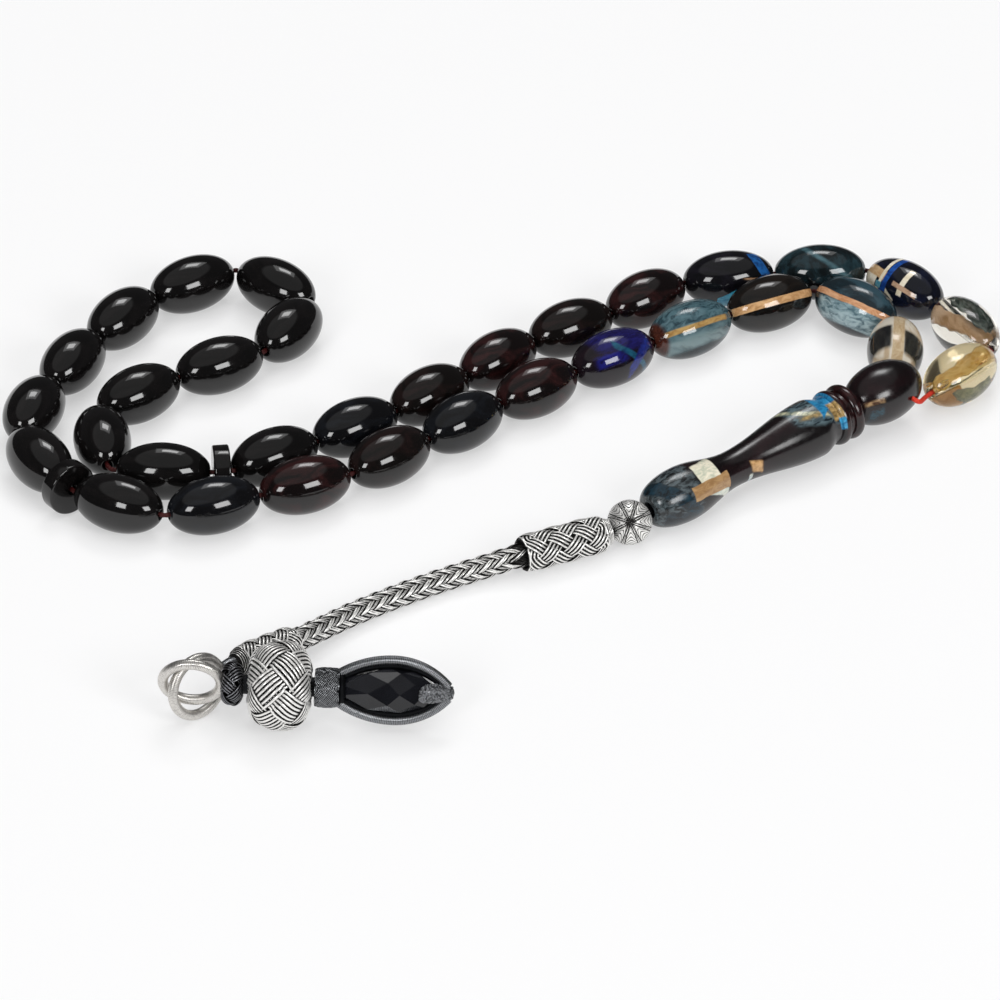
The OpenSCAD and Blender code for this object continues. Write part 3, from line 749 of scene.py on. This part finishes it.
# %% The faceted stone
def diamond_stone():
    """Six-sided rows, turned half a step each time, with four-cornered facets between them."""
    rows = [0, 0.28, 0.49, 0.62, 0.78, 0.88, 1]
    first, length, n = band_to + 0.3, FRAME_LENGTH - 3.3, 6
    points = []
    for j, t in enumerate(rows):
        r = 3.45 * math.sqrt(max(0.02, 1 - ((t - 0.54) / (0.6 if t < 0.54 else 0.475)) ** 2))
        for k in range(n):
            a = 2 * math.pi / n * (k + (j + 1) % 2 / 2)
            points.append((first + t * length, r * math.sin(a), r * math.cos(a)))
    faces = [list(range(n))[::-1], list(range(len(points) - n, len(points)))]
    for j in range(len(rows) - 2):
        turned = (j + 1) % 2
        faces += [[j * n + k, (j + 1) * n + (k + n - 1 + turned) % n, (j + 2) * n + k,
                   (j + 1) * n + (k + turned) % n] for k in range(n)]
    last = (len(rows) - 1) * n
    for k in range(n):
        faces += [[k, n + (k + 1) % n, (k + 1) % n], [last + k, last + (k + 1) % n, last - n + (k + 1) % n]]
    return np.array(points), faces, np.ones(len(points))


def black_stone():
    """Polished black with a faint grey cloud."""
    material, tree, shader = material_with("black stone", Roughness=0.05, IOR=1.5, Specular_IOR_Level=0.45)
    cloud = add(tree, "ShaderNodeTexNoise", Vector=add(tree, "ShaderNodeTexCoord").outputs["Object"],
                Scale=260.0, Detail=4.0).outputs[0]
    tree.links.new(blend_colour(tree, cloud, rgb("050506"), rgb("1c1d22")), shader.inputs["Base Color"])
    return material


stone = piece("faceted_stone", diamond_stone(), black_stone(), "drop", ["stone"], framed,
              smooth=False)
flat_normals = [facet.normal[:] for facet in stone.data.polygons for _ in facet.vertices]
stone.data.normals_split_custom_set(flat_normals)
print("stone:", len(stone.data.polygons), "facets")


# %% The granulated tip
# Distance from the tip, and radius.
TONGUE = [(-5.6, 0.05), (-5.5, 0.6), (-5.2, 1.05), (-4.5, 1.35), (-3.2, 1.45), (-2.2, 1.35), (-1.2, 1.2),
          (-0.6, 0.9), (-0.35, 0.5), (-0.25, 0.05)]
TONGUE_WIDEST, TONGUE_FLATNESS = 1.45, 0.75


def granulated_tip(count, size, seed=7):
    """A low tongue between the frame's cords, with small silver grains soldered all over it."""
    chance = random.Random(seed)
    shape = bmesh.new()
    bmesh.ops.create_icosphere(shape, subdivisions=1, radius=1)
    round_points = np.array([v.co for v in shape.verts])
    round_faces = [[v.index for v in f.verts] for f in shape.faces]
    shape.free()
    outline = np.array([(tip_x + x, radius) for x, radius in TONGUE])

    def lift(x):
        return np.interp(x - tip_x, [-5.6, -4.6, -3.4, -1.6, 0], [2.35, 1.85, 1.0, 0.2, 0])
    points, faces, _ = lathe(outline, 32)
    points[:, 2] = TONGUE_FLATNESS * points[:, 2] + lift(points[:, 0])
    parts = [(points, faces, np.full(len(points), 0.7))]
    while len(parts) < count:
        x = chance.uniform(outline[0][0], outline[-1][0])
        radius, turn = np.interp(x, outline[:, 0], outline[:, 1]), chance.uniform(0, 2 * math.pi)
        if chance.random() > radius / TONGUE_WIDEST:
            continue
        out = np.array([0, math.sin(turn), TONGUE_FLATNESS * math.cos(turn)])
        grain = size * chance.uniform(0.7, 1.15)
        centre = np.array([min(x, tip_x - 0.35 - size), 0, lift(x)]) + (radius - 0.4 * grain) * out
        parts.append((centre + grain * round_points, round_faces,
                      chance.uniform(0.72, 1.0) * np.clip(0.88 + 0.3 * (round_points @ unit(out)), 0, 1)))
    return together(parts)


tip_grains = piece("granulated_tip", granulated_tip(380, 0.2), OLD_SILVER, "drop", ["tip_cap"],
                   framed)
print("tip:", len(tip_grains.data.polygons), "faces of grains")

# %% The two hidden wires keep their own shapes
for name in ("tassel_wire", "pendant_core"):
    plain = silver_finish(name.replace("_", " ") + " silver", "4a4c4f", "2c2d2f", 20.0)
    node_mesh = frame["nodes"][name].data
    node_mesh.materials.clear()
    node_mesh.materials.append(plain)
print("hidden wires have a plain finish")

# %% [markdown]
# ## The engraved ball
# The silver ball between the leader and the rope is cut with a star of eight raised rays and finer
# veins between them. The grooves are real geometry: each point of a turned ball is pushed in where
# the star is low, and the same number tells the finish where the black stays.

# %% The ball and its star
BALL_RADIUS = 3.5
ball_place = facing(np.array(JOINTS["ball_spin"]["pos_m"]), JOINTS["ball_spin"]["axis"])


def starry_ball():
    """A bored ball, pressed in where the star facing the front is cut."""
    half_bore = math.asin(0.68 / BALL_RADIUS)
    outline = [(-BALL_RADIUS * math.cos(a), BALL_RADIUS * math.sin(a))
               for a in np.linspace(half_bore, math.pi - half_bore, 190)]
    outline += [(outline[-1][0], 0.66), (outline[0][0], 0.66)]
    points, faces, _ = lathe(outline, 330)
    star = np.array(ball_place.to_3x3().inverted() @ Vector(TO_CAMERA))
    outside = np.linalg.norm(points[:, 1:], axis=1) > 0.7
    direction = unit(points)
    across = unit(np.cross(star, [1.0, 0, 0]))
    round_star = np.arctan2(direction @ np.cross(star, across), direction @ across)
    away = np.arccos(np.clip(np.abs(direction @ star), 0, 1))
    leaf = np.abs(np.sin(4 * round_star))
    ray = leaf * np.sin(np.maximum(away, 0.02)) / 4
    width = 0.02 + 0.045 * away
    groove = np.clip(1.3 - ray / 0.014, 0, 1) * np.clip(3 * away - 1.2, 0, 1)
    groove = np.maximum(groove, np.clip(1.4 - np.abs(ray - width) / 0.022, 0, 1))
    veins = np.clip(1.2 - np.abs(np.sin(14 * away + 9 * leaf)) / 0.5, 0, 1) * (ray > width)
    rim = np.clip(1.3 - np.abs(away - 1.46) / 0.035, 0, 1)
    groove = np.maximum(np.maximum(groove, 0.9 * veins), rim)
    points = np.where(outside[:, None], points * (1 - 0.022 * groove[:, None]), points)
    return points, faces, 1 - 0.75 * groove


ball = piece("engraved_ball", starry_ball(), SILVER, "ball", ["silver_ball"], ball_place, sharp=50)
print("ball:", len(ball.data.polygons), "faces")

# %% [markdown]
# ## Cast and marbled resin
# The black beads are nearly opaque, with a faint brown or blue cloud deep in the resin.
# The coloured ones are cut from blocks in which bars and chips of other colours were set,
# so their colours end at sharp, flat faces that go through the bead.
# A `slab` group gives such a bar as a mask: everywhere within a width of a plane.
# Two or three slabs multiplied make a chip, and a little noise bends their faces.

# %% Groups for slabs and smoke
slab, given, out = group("slab", [
    ("Place", "Vector", None), ("Facing", "Vector", None), ("Middle", "Float", 0.0),
    ("Half Width", "Float", 1.0), ("Softness", "Float", 0.1)], [("Mask", "Float")])
along = add(slab, "ShaderNodeVectorMath", {"operation": "DOT_PRODUCT"}, s0=given["Place"],
            s1=given["Facing"]).outputs["Value"]
away = maths(slab, "ABSOLUTE", maths(slab, "SUBTRACT", along, given["Middle"]))
edge_in = maths(slab, "SUBTRACT", given["Half Width"], given["Softness"])
edge_out = maths(slab, "ADD", given["Half Width"], given["Softness"])
inside = add(slab, "ShaderNodeMapRange", {"interpolation_type": "SMOOTHSTEP"}, Value=away, From_Min=edge_in,
             From_Max=edge_out, To_Min=1.0, To_Max=0.0).outputs[0]
slab.links.new(inside, out["Mask"])

drift, given, out = group("drift", [
    ("Scale", "Float", 0.3), ("Amount", "Float", 0.3), ("Seed", "Float", 0.0)], [("Place", "Vector")])
own = add(drift, "ShaderNodeVectorMath", {"operation": "SCALE"},
          s0=add(drift, "ShaderNodeTexCoord").outputs["Object"], Scale=1000.0).outputs[0]
wander = add(drift, "ShaderNodeTexNoise", {"noise_dimensions": "4D"}, Vector=own, W=given["Seed"],
             Scale=given["Scale"], Detail=2.0)
shift = add(drift, "ShaderNodeVectorMath", {"operation": "SUBTRACT"}, s0=wander.outputs[1],
            s1=(0.5, 0.5, 0.5)).outputs[0]
moved = add(drift, "ShaderNodeVectorMath", {"operation": "SCALE"}, s0=shift, Scale=given["Amount"]).outputs[0]
drift.links.new(add(drift, "ShaderNodeVectorMath", s0=own, s1=moved).outputs[0], out["Place"])

smoke, given, out = group("smoke", [
    ("Place", "Vector", None), ("Scale", "Float", 0.25), ("Stretch", "Vector", None), ("Thin", "Color", None),
    ("Thick", "Color", None), ("From", "Float", 0.4), ("To", "Float", 0.62)], [("Color", "Color")])
drawn = add(smoke, "ShaderNodeVectorMath", {"operation": "MULTIPLY"}, s0=given["Place"],
            s1=given["Stretch"]).outputs[0]
cloud = add(smoke, "ShaderNodeTexNoise", Vector=drawn, Scale=given["Scale"], Detail=4.0, Roughness=0.6,
            Distortion=0.8).outputs[0]
cloud = add(smoke, "ShaderNodeMapRange", {"interpolation_type": "SMOOTHSTEP"}, Value=cloud,
            From_Min=given["From"], From_Max=given["To"]).outputs[0]
smoke.links.new(blend_colour(smoke, cloud, given["Thin"], given["Thick"]), out["Color"])

X, Y = (1, 0, 0), (0, 1, 0)


def tilted(degrees):
    """A direction in a bead's x and y plane, turned from y."""
    a = math.radians(degrees)
    return (math.sin(a), math.cos(a), 0)


def resin(name, ground, chips=(), scale=0.25, stretch=(0.5, 1, 1), span=(0.42, 0.62), bend=0.35, seed=0.0,
          polish=(0.05, 0.11), **glass):
    """Marbled resin. ground is two colours, and each chip is two colours and its slabs.

    A slab is (facing, middle, half width, softness), in millimetres of the bead's own frame.
    """
    settings = dict(Roughness=0.035, IOR=1.55, Specular_IOR_Level=0.5)
    settings.update(glass)
    material, tree, shader = material_with(name, **settings)
    place = use(tree, drift, Amount=bend, Seed=seed)["Place"]
    cloudy = use(tree, drift, Amount=1.5, Seed=seed + 3)["Place"]
    colour = use(tree, smoke, Place=cloudy, Scale=scale, Stretch=stretch, Thin=rgb(ground[0]),
                 Thick=rgb(ground[1]), From=span[0], To=span[1])["Color"]
    for pale, deep, slabs in chips:
        mask = None
        for facing_way, middle, half_width, soft in slabs:
            here = use(tree, slab, Place=place, Facing=facing_way, Middle=middle, Half_Width=half_width,
                       Softness=soft)["Mask"]
            mask = here if mask is None else maths(tree, "MULTIPLY", mask, here)
        own_colour = use(tree, smoke, Place=cloudy, Scale=0.9, Stretch=(0.6, 1.4, 1.4), Thin=rgb(pale),
                         Thick=rgb(deep), From=0.35, To=0.68)["Color"]
        colour = blend_colour(tree, mask, colour, own_colour)
    tree.links.new(colour, shader.inputs["Base Color"])
    scuff = add(tree, "ShaderNodeTexNoise", Vector=cloudy, Scale=1.3, Detail=3.0).outputs[0]
    rough = add(tree, "ShaderNodeMapRange", Value=scuff, From_Min=0.3, From_Max=0.75, To_Min=polish[0],
                To_Max=polish[1]).outputs[0]
    tree.links.new(rough, shader.inputs["Roughness"])
    return material


# %% [markdown]
# ## The beads
# A bead is an ellipse turned round its bore, cut to a small flat at each mouth.
# The edge of the flat is rounded a little, so that it catches the light as polished resin does.
# Each bead is turned so that its patterned side faces the front, and rides on a body of its own,
# so it can spin on the string.

# %% The bead's outline
BEAD_WIDTH, FLAT_RADIUS, BORE = 9.0, 1.1, 1.6
end_angle = math.acos(FLAT_RADIUS / (BEAD_WIDTH / 2))


def bead_outline():
    """Half an ellipse from mouth to mouth, and back along the bore."""
    wide, length = BEAD_WIDTH / 2, BEAD_LENGTH / 2
    outline = [(length * math.sin(a) / math.sin(end_angle), wide * math.cos(a))
               for a in np.linspace(-end_angle, end_angle, 49)]
    outline[0], outline[-1] = (-length + 0.05, outline[0][1]), (length - 0.05, outline[-1][1])
    rim = [(length, FLAT_RADIUS - 0.07), (length, BORE / 2 + 0.06), (length - 0.08, BORE / 2)]
    return outline + rim + [(-x, r) for x, r in rim[::-1]]


bead_skin = lathe(bead_outline(), 96)
CREAM = ("e9e1cf", "cfc3a8")
BLACKS = {
    "black resin": resin("black resin", ("0b0a0a", "121010")),
    "brown black resin": resin("brown black resin", ("0c0908", "1b1110"), seed=2.0),
    "red black resin": resin("red black resin", ("0d0808", "2a1414"), seed=5.0),
    "blue black resin": resin("blue black resin", ("0a0a0c", "131519"), seed=8.0),
}
SMOKY_BEADS = {"red black resin": (6, 8, 25, 28), "blue black resin": (10, 24, 27),
               "brown black resin": (7, 9, 26)}
KIND = {f"bead_{number:02d}": kind for kind, numbers in SMOKY_BEADS.items() for number in numbers}
COLOURED = {
    "bead_03": resin("bead 3 resin", ("0b0d16", "11162a"), [
        (*CREAM, [(X, 5.2, 2.0, 0.1), (Y, 2.2, 2.6, 0.2)]),
        ("c7ab84", "b08a60", [(X, 4.6, 3.0, 0.1), (tilted(6), 0.1, 0.75, 0.12)]),
        (*CREAM, [(X, 2.2, 0.35, 0.06), (Y, -1.5, 3.2, 0.2)]),
        ("1f4f9e", "12306e", [(X, 1.1, 0.55, 0.06)]),
        ("0a0d18", "10162c", [(X, 0.2, 0.4, 0.05)]),
        ("7fb6c4", "3d7f94", [(X, 2.4, 0.6, 0.1), (Y, 1.6, 0.6, 0.1)]),
        (*CREAM, [(X, -2.1, 0.45, 0.08), (Y, -0.6, 2.3, 0.15)]),
        ("b99a80", "8e6f58", [(X, -2.6, 2.2, 0.1), (tilted(4), 0.35, 0.38, 0.08)]),
        (*CREAM, [(tilted(30), 2.1, 0.5, 0.1), (X, -0.4, 0.9, 0.1)])], bend=0.5, seed=1.0),
    "bead_04": resin("bead 4 resin", ("0c1214", "23383f"), [
        ("0c0d0f", "15191b", [(Y, 3.6, 1.7, 0.4)]),
        ("48656d", "2c464e", [(tilted(35), -1.6, 0.35, 0.3), (X, 0.0, 4.5, 1.0)])],
        scale=0.34, stretch=(0.8, 0.5, 1), span=(0.36, 0.7), seed=4.0),
    "bead_05": resin("bead 5 resin", ("0b0b0e", "15131a"), [
        ("1f5c9c", "10305f", [(tilted(62), -4.9, 0.75, 0.1), (Y, -1.7, 1.8, 0.1)]),
        ("4fc0dc", "2389b5", [(tilted(-20), 3.0, 0.9, 0.1), (Y, 3.3, 1.2, 0.15), (X, 0.5, 2.2, 0.1)]),
        ("b08a6a", "7a553e", [(tilted(3), 0.35, 0.14, 0.1), (X, -4.4, 2.6, 0.5)])], bend=0.5, seed=6.0),
    "bead_29": resin("bead 29 resin", ("130d14", "1c1218"), [
        ("1d1b58", "130f3a", [(tilted(12), 2.7, 2.3, 0.5), (X, 0.8, 4.8, 0.8)]),
        ("1d566e", "123c54", [(tilted(48), 0.4, 0.5, 0.2), (X, 1.6, 3.0, 0.3)]),
        ("212e7c", "151b54", [(tilted(-35), -2.6, 0.7, 0.25), (X, 2.6, 2.6, 0.3)]),
        ("1d1f70", "120f3c", [(Y, -0.2, 0.9, 0.4), (X, -2.5, 2.4, 0.8)])], bend=1.2, seed=7.0),
    "bead_31": resin("bead 31 resin", ("0e0c0b", "1a1512"), [
        ("cfa678", "a97e52", [(tilted(1), -0.05, 0.62, 0.07)])], bend=0.25, seed=9.0),
    "bead_32": resin("bead 32 resin", ("18242a", "2f4650"), [
        ("a3babf", "4b6771", [(tilted(-4), -2.0, 1.9, 0.35), (X, 0.6, 5.4, 0.9)]),
        ("15191b", "202a2e", [(Y, -4.3, 0.75, 0.25)]),
        ("d3a47e", "b57f58", [(tilted(1), 0.35, 0.5, 0.07)])], scale=0.3, bend=0.4, seed=11.0),
}
print("resins:", len(BLACKS) + len(COLOURED))

# %% The opaque beads and the discs
CLEAR_BEADS = ("bead_01", "bead_02", "bead_30", "bead_33")
for name in ORDER:
    if not name.startswith("bead") or name in CLEAR_BEADS:
        continue
    finish = COLOURED.get(name) or BLACKS[KIND.get(name, "black resin")]
    piece("turned_" + name, bead_skin, finish, name + "_body", [name],
          facing(centres[name] * MM, axes[name]), sharp=55)

EDGE, DISC_RADIUS, DISC_HALF = 0.3, 4.2, DISC_THICKNESS / 2
ease = [(DISC_HALF - EDGE * (1 - math.sin(a)), DISC_RADIUS - EDGE * (1 - math.cos(a)))
        for a in np.linspace(0, math.pi / 2, 6)]
half_outline = [(0.0, DISC_RADIUS)] + ease + [(DISC_HALF, BORE / 2 + 0.1), (DISC_HALF - 0.1, BORE / 2)]
disc_skin = lathe(half_outline + [(-x, r) for x, r in half_outline[:0:-1]], 96)
for name in ("disc_1", "disc_2"):
    piece("turned_" + name, disc_skin, BLACKS["black resin"], name + "_body", [name],
          facing(centres[name] * MM, axes[name]), sharp=40)
print("beads and discs are on their bodies")

# %% [markdown]
# ## The clear beads
# Four beads are partly clear. Their resin is real glass-like shading with a hollow bore, so the red
# string shows through, and the gold and grey bars in them are thin plates of their own inside.
# The clear skin bends their outlines as a lens does.


# %% Plates and clear skins
ROOM_INSIDE = (7.05, 4.2)
PLATE_STEPS = 40


def plate(slope, x_range, y_middle, y_half, z_middle, thick=0.35, wave=0.25, seed=1):
    """A thin, slightly wavy bar inside a bead, long in x and kept within the bead's outline."""
    chance = random.Random(seed)
    phase = [chance.uniform(0, 6.3) for _ in range(4)]
    xs, ys = np.linspace(*x_range, PLATE_STEPS), np.linspace(-1, 1, 11)
    rows = []
    for side in (1, -1):
        for y in ys[::side]:
            wide = y_half * (1 + 0.12 * np.sin(1.3 * xs + phase[0]) + 0.08 * np.sin(3.1 * xs + phase[1]))
            py = y_middle + slope * xs + y * wide
            ripple = wave * np.sin(0.8 * xs + phase[2])
            pz = z_middle + ripple + wave * 0.5 * np.sin(2 * py + phase[3]) + side * thick / 2
            rows.append(np.stack([xs, py, pz], -1))
    points = np.array(rows)
    limit = ROOM_INSIDE[1] * np.sqrt(np.clip(1 - (points[..., 0] / ROOM_INSIDE[0]) ** 2, 0.02, 1))
    away = np.linalg.norm(points[..., 1:], axis=-1)
    points[..., 1:] *= np.minimum(1, limit / away)[..., None]
    count = len(rows)
    points = points.transpose(1, 0, 2).reshape(-1, 3)
    faces = join_rings(PLATE_STEPS, count, False).tolist() + end_caps(PLATE_STEPS, count)
    return points, faces, np.ones(len(points))


def set_in(name, label, skin, colours, scale=0.8, **sockets):
    """A bar of another colour set inside a clear bead."""
    material = resin(label.replace("_", " ") + " " + name, colours, scale=scale, stretch=(0.4, 1.6, 1.6),
                     span=(0.38, 0.66), **sockets)
    return piece(f"{label}_{name}", skin, material, name + "_body", (),
                 facing(centres[name] * MM, axes[name]))


def clear_skin(name, tint, chips=(), ground=None, clear=1.0, **sockets):
    """A bead that light goes through, wholly or in part."""
    material = resin("clear " + name, ground or (tint, tint), chips, Transmission_Weight=clear, **sockets)
    return piece("turned_" + name, bead_skin, material, name + "_body", [name],
                 facing(centres[name] * MM, axes[name]), sharp=55)


clear_skin("bead_01", "efdfb6")
set_in("bead_01", "gold_vein", plate(0.02, (-6.3, 6.3), 0.5, 0.85, 0.9, 0.3, 0.3, 3), ("dfc690", "c8a25e"))
set_in("bead_01", "grey_cloud", plate(-0.1, (-4.0, 3.0), -2.4, 0.8, 0.3, 0.5, 0.5, 5), ("8f9a86", "5d6a5c"))
set_in("bead_01", "honey_cloud", plate(0.05, (-6.0, -1.0), -0.6, 1.2, -1.4, 0.5, 0.4, 8), ("e2b57c", "cf9a58"))
clear_skin("bead_02", "f6f2e8")
set_in("bead_02", "tan_bar", plate(0.16, (-6.4, 6.4), 0.2, 0.85, 0.8, 0.4, 0.15, 4), ("cfae8c", "b08c66"))
set_in("bead_02", "green_patch", plate(0.02, (-4.8, 4.6), -2.3, 1.25, 1.2, 0.9, 0.35, 6), ("3b4644", "707c78"))
clear_skin("bead_30", "8fb0b6", [
    ("5f7f88", "27414b", [(Y, 1.6, 2.4, 0.7)]), ("5a2e22", "3c1c16", [(X, -6.8, 0.9, 0.4)]),
    ("23343c", "152026", [(Y, -3.9, 0.8, 0.4)]),
    ("d0ab6c", "a8804a", [(tilted(2), 0.1, 0.45, 0.12), (X, -0.4, 5.6, 0.3)])],
    ground=("7f989d", "2c454e"), clear=0.3, span=(0.4, 0.7), seed=13.0)
set_in("bead_30", "gold_bar", plate(0.0, (-6.5, -1.2), 0.05, 0.5, 1.6, 0.4, 0.2, 9), ("d3ae6e", "a97f45"))
set_in("bead_30", "tan_bar", plate(0.0, (2.2, 6.6), 0.1, 0.6, 1.6, 0.4, 0.2, 10), ("c9a684", "a98462"))
set_in("bead_30", "deep_cloud", plate(0.05, (-4.5, 5.5), 1.6, 1.7, -1.2, 1.2, 0.5, 12), ("2f4f5c", "6f95a0"))
clear_skin("bead_33", "eee6d4", [
    ("17191d", "2b2c2c", [(X, 1.9, 2.6, 0.5), (Y, -2.8, 1.8, 0.3)]),
    ("1a1c1f", "33342f", [(X, 2.8, 2.4, 0.5), (Y, 2.8, 1.8, 0.3)]),
    ("dcc7a4", "c2a67e", [(Y, 0.1, 0.9, 0.12)])], ground=("efe8d8", "cbb596"), clear=0.35, seed=15.0)
print("clear beads and their bars are set")

# %% [markdown]
# ## The leader
# The leader is turned from one block of dark red-black resin with chips of cream, tan, gold, blue and
# slate near its two wide parts. It is a lathe shape like the beads: a bulb, a waist, a belly,
# two collar rings and a head. The cream patch on its bulb is bare.
# The string's ends go into the head from below and behind, where its skin hides them.

# %% The leader's outline
LEADER = dict(length=54.5, bulb=8.8, waist=5.7, belly=9.4, collar=9.0, head=9.6)
LEADER_TURN, LEADER_RISE = math.radians(39), math.radians(2.8)
level_run = math.cos(LEADER_RISE)
leader_dir = np.array([level_run * math.cos(LEADER_TURN), level_run * math.sin(LEADER_TURN),
                       math.sin(LEADER_RISE)])
leader_tip = spot(22.9, -9.1, 4.1)
LEADER_SHARES = (6.5 / 54, 16.5 / 54, 32.5 / 54, 0.68)
S_BULB, S_WAIST, S_BELLY, S_COLLAR = (share * LEADER["length"] for share in LEADER_SHARES)
HEAD_LENGTH = LEADER["length"] - S_COLLAR - 3.9
S_HEAD = LEADER["length"] - HEAD_LENGTH / 2
S_HOLE = S_HEAD + 2.4


def leader_outline():
    """The outline from the bulb's end to the head's, and back along the bore."""
    def flow(start, end, a, b, steps):
        """From radius a to radius b, level at both ends."""
        return [(start + (end - start) * t, a + (b - a) * (1 - math.cos(math.pi * t)) / 2)
                for t in np.linspace(0, 1, steps)[1:]]
    bulb, waist, belly = LEADER["bulb"] / 2, LEADER["waist"] / 2, LEADER["belly"] / 2
    neck = LEADER["collar"] / 2 - 0.7
    points = [(S_BULB * (1 - math.cos(a)), 1.9 + (bulb - 1.9) * math.sin(a))
              for a in np.linspace(0, math.pi / 2, 14)]
    points += flow(S_BULB, S_WAIST, bulb, waist, 16)
    points += flow(S_WAIST, S_BELLY, waist, belly, 20)
    points += flow(S_BELLY, S_COLLAR - 0.95, belly, neck, 12)
    for middle in (S_COLLAR + 0.2, S_COLLAR + 2.7):
        points += [(middle + 0.9 * math.sin(a), neck + 0.7 * math.cos(a))
                   for a in np.linspace(-math.pi / 2, math.pi / 2, 15)]
    for a in np.linspace(0.36, math.pi - 0.3, 40):
        s = S_HEAD - HEAD_LENGTH / 2 * math.cos(a)
        fullness = max(0.14, 1 - ((s - S_HEAD) / (HEAD_LENGTH * 0.53)) ** 2)
        points.append((s, LEADER["head"] / 2 * math.sqrt(fullness)))
    end = LEADER["length"]
    points += [(end - 0.05, 1.62), (end, 1.5), (end, 0.01)]
    return points + [(S_HOLE, 0.01), (S_HOLE, 0.85), (6, 0.85), (6, 1.3), (0.1, 1.3), (0, 1.4)]


LEADER_FINISH = resin("leader resin", ("0b0708", "1b0c0f"), [
    ("0d1113", "566064", [(X, 3.0, 4.6, 0.5)]),
    ("1d3440", "101519", [(tilted(52), 2.6, 1.1, 0.25), (X, 3.0, 4.4, 0.3)]),
    ("10151a", "26323a", [(tilted(20), -2.3, 0.9, 0.2), (X, 4.0, 3.4, 0.3)]),
    ("e8e1cc", "b9bda8", [(X, 10.2, 2.2, 0.12), (Y, 0.9, 2.3, 0.15)]),
    ("dfe0d2", "9fb0a8", [(tilted(18), 2.4, 1.6, 0.12), (X, 11.2, 2.4, 0.15), (Y, -3.0, 1.1, 0.15)]),
    ("b08d62", "93704a", [(X, 10.0, 3.9, 0.1), (tilted(1.5), -0.75, 1.15, 0.08)]),
    ("c9a06e", "8f6a42", [(X, 19.5, 0.95, 0.25), (tilted(20), 5.35, 0.8, 0.2)]),
    ("d8dccf", "5f7f9c", [(X, 18.3, 0.35, 0.15), (Y, -3.0, 0.8, 0.2)]),
    ("152028", "5d7076", [(tilted(18), 12.0, 2.1, 0.5), (X, 32.6, 4.6, 0.6)]),
    ("c9c7a6", "4b5a56", [(tilted(30), 17.6, 0.32, 0.25), (X, 31.0, 3.6, 0.8)]),
    ("a98f5c", "2b3530", [(tilted(10), 7.1, 0.35, 0.3), (X, 31.8, 2.4, 0.8)]),
    ("2b86b4", "15537c", [(X, 35.6, 2.6, 0.2), (tilted(-24), -11.3, 1.7, 0.15)]),
    ("b4955f", "5f4c2e", [(X, 37.0, 1.9, 0.25), (Y, 0.7, 1.5, 0.2)]),
    ("3fa0cc", "1d6a98", [(X, 37.2, 1.2, 0.15), (tilted(28), 15.7, 0.75, 0.15)]),
    ("130809", "2c1010", [(X, 39.0, 2.15, 0.12)]),
    ("a88b66", "4a3226", [(X, 43.4, 1.4, 0.3), (tilted(8), 5.1, 0.35, 0.25)]),
    ("24424e", "10151a", [(X, 43.4, 0.9, 0.3), (Y, -2.7, 0.6, 0.3)])],
    scale=0.22, stretch=(0.35, 1, 1), span=(0.42, 0.75), bend=0.9, seed=21.0, polish=(0.15, 0.26))
leader_place = facing(leader_tip * MM, leader_dir)
leader = piece("turned_leader", lathe(leader_outline(), 128), LEADER_FINISH, "strand",
               ["leader"], leader_place, sharp=40)
print("leader:", len(leader.data.polygons), "faces")
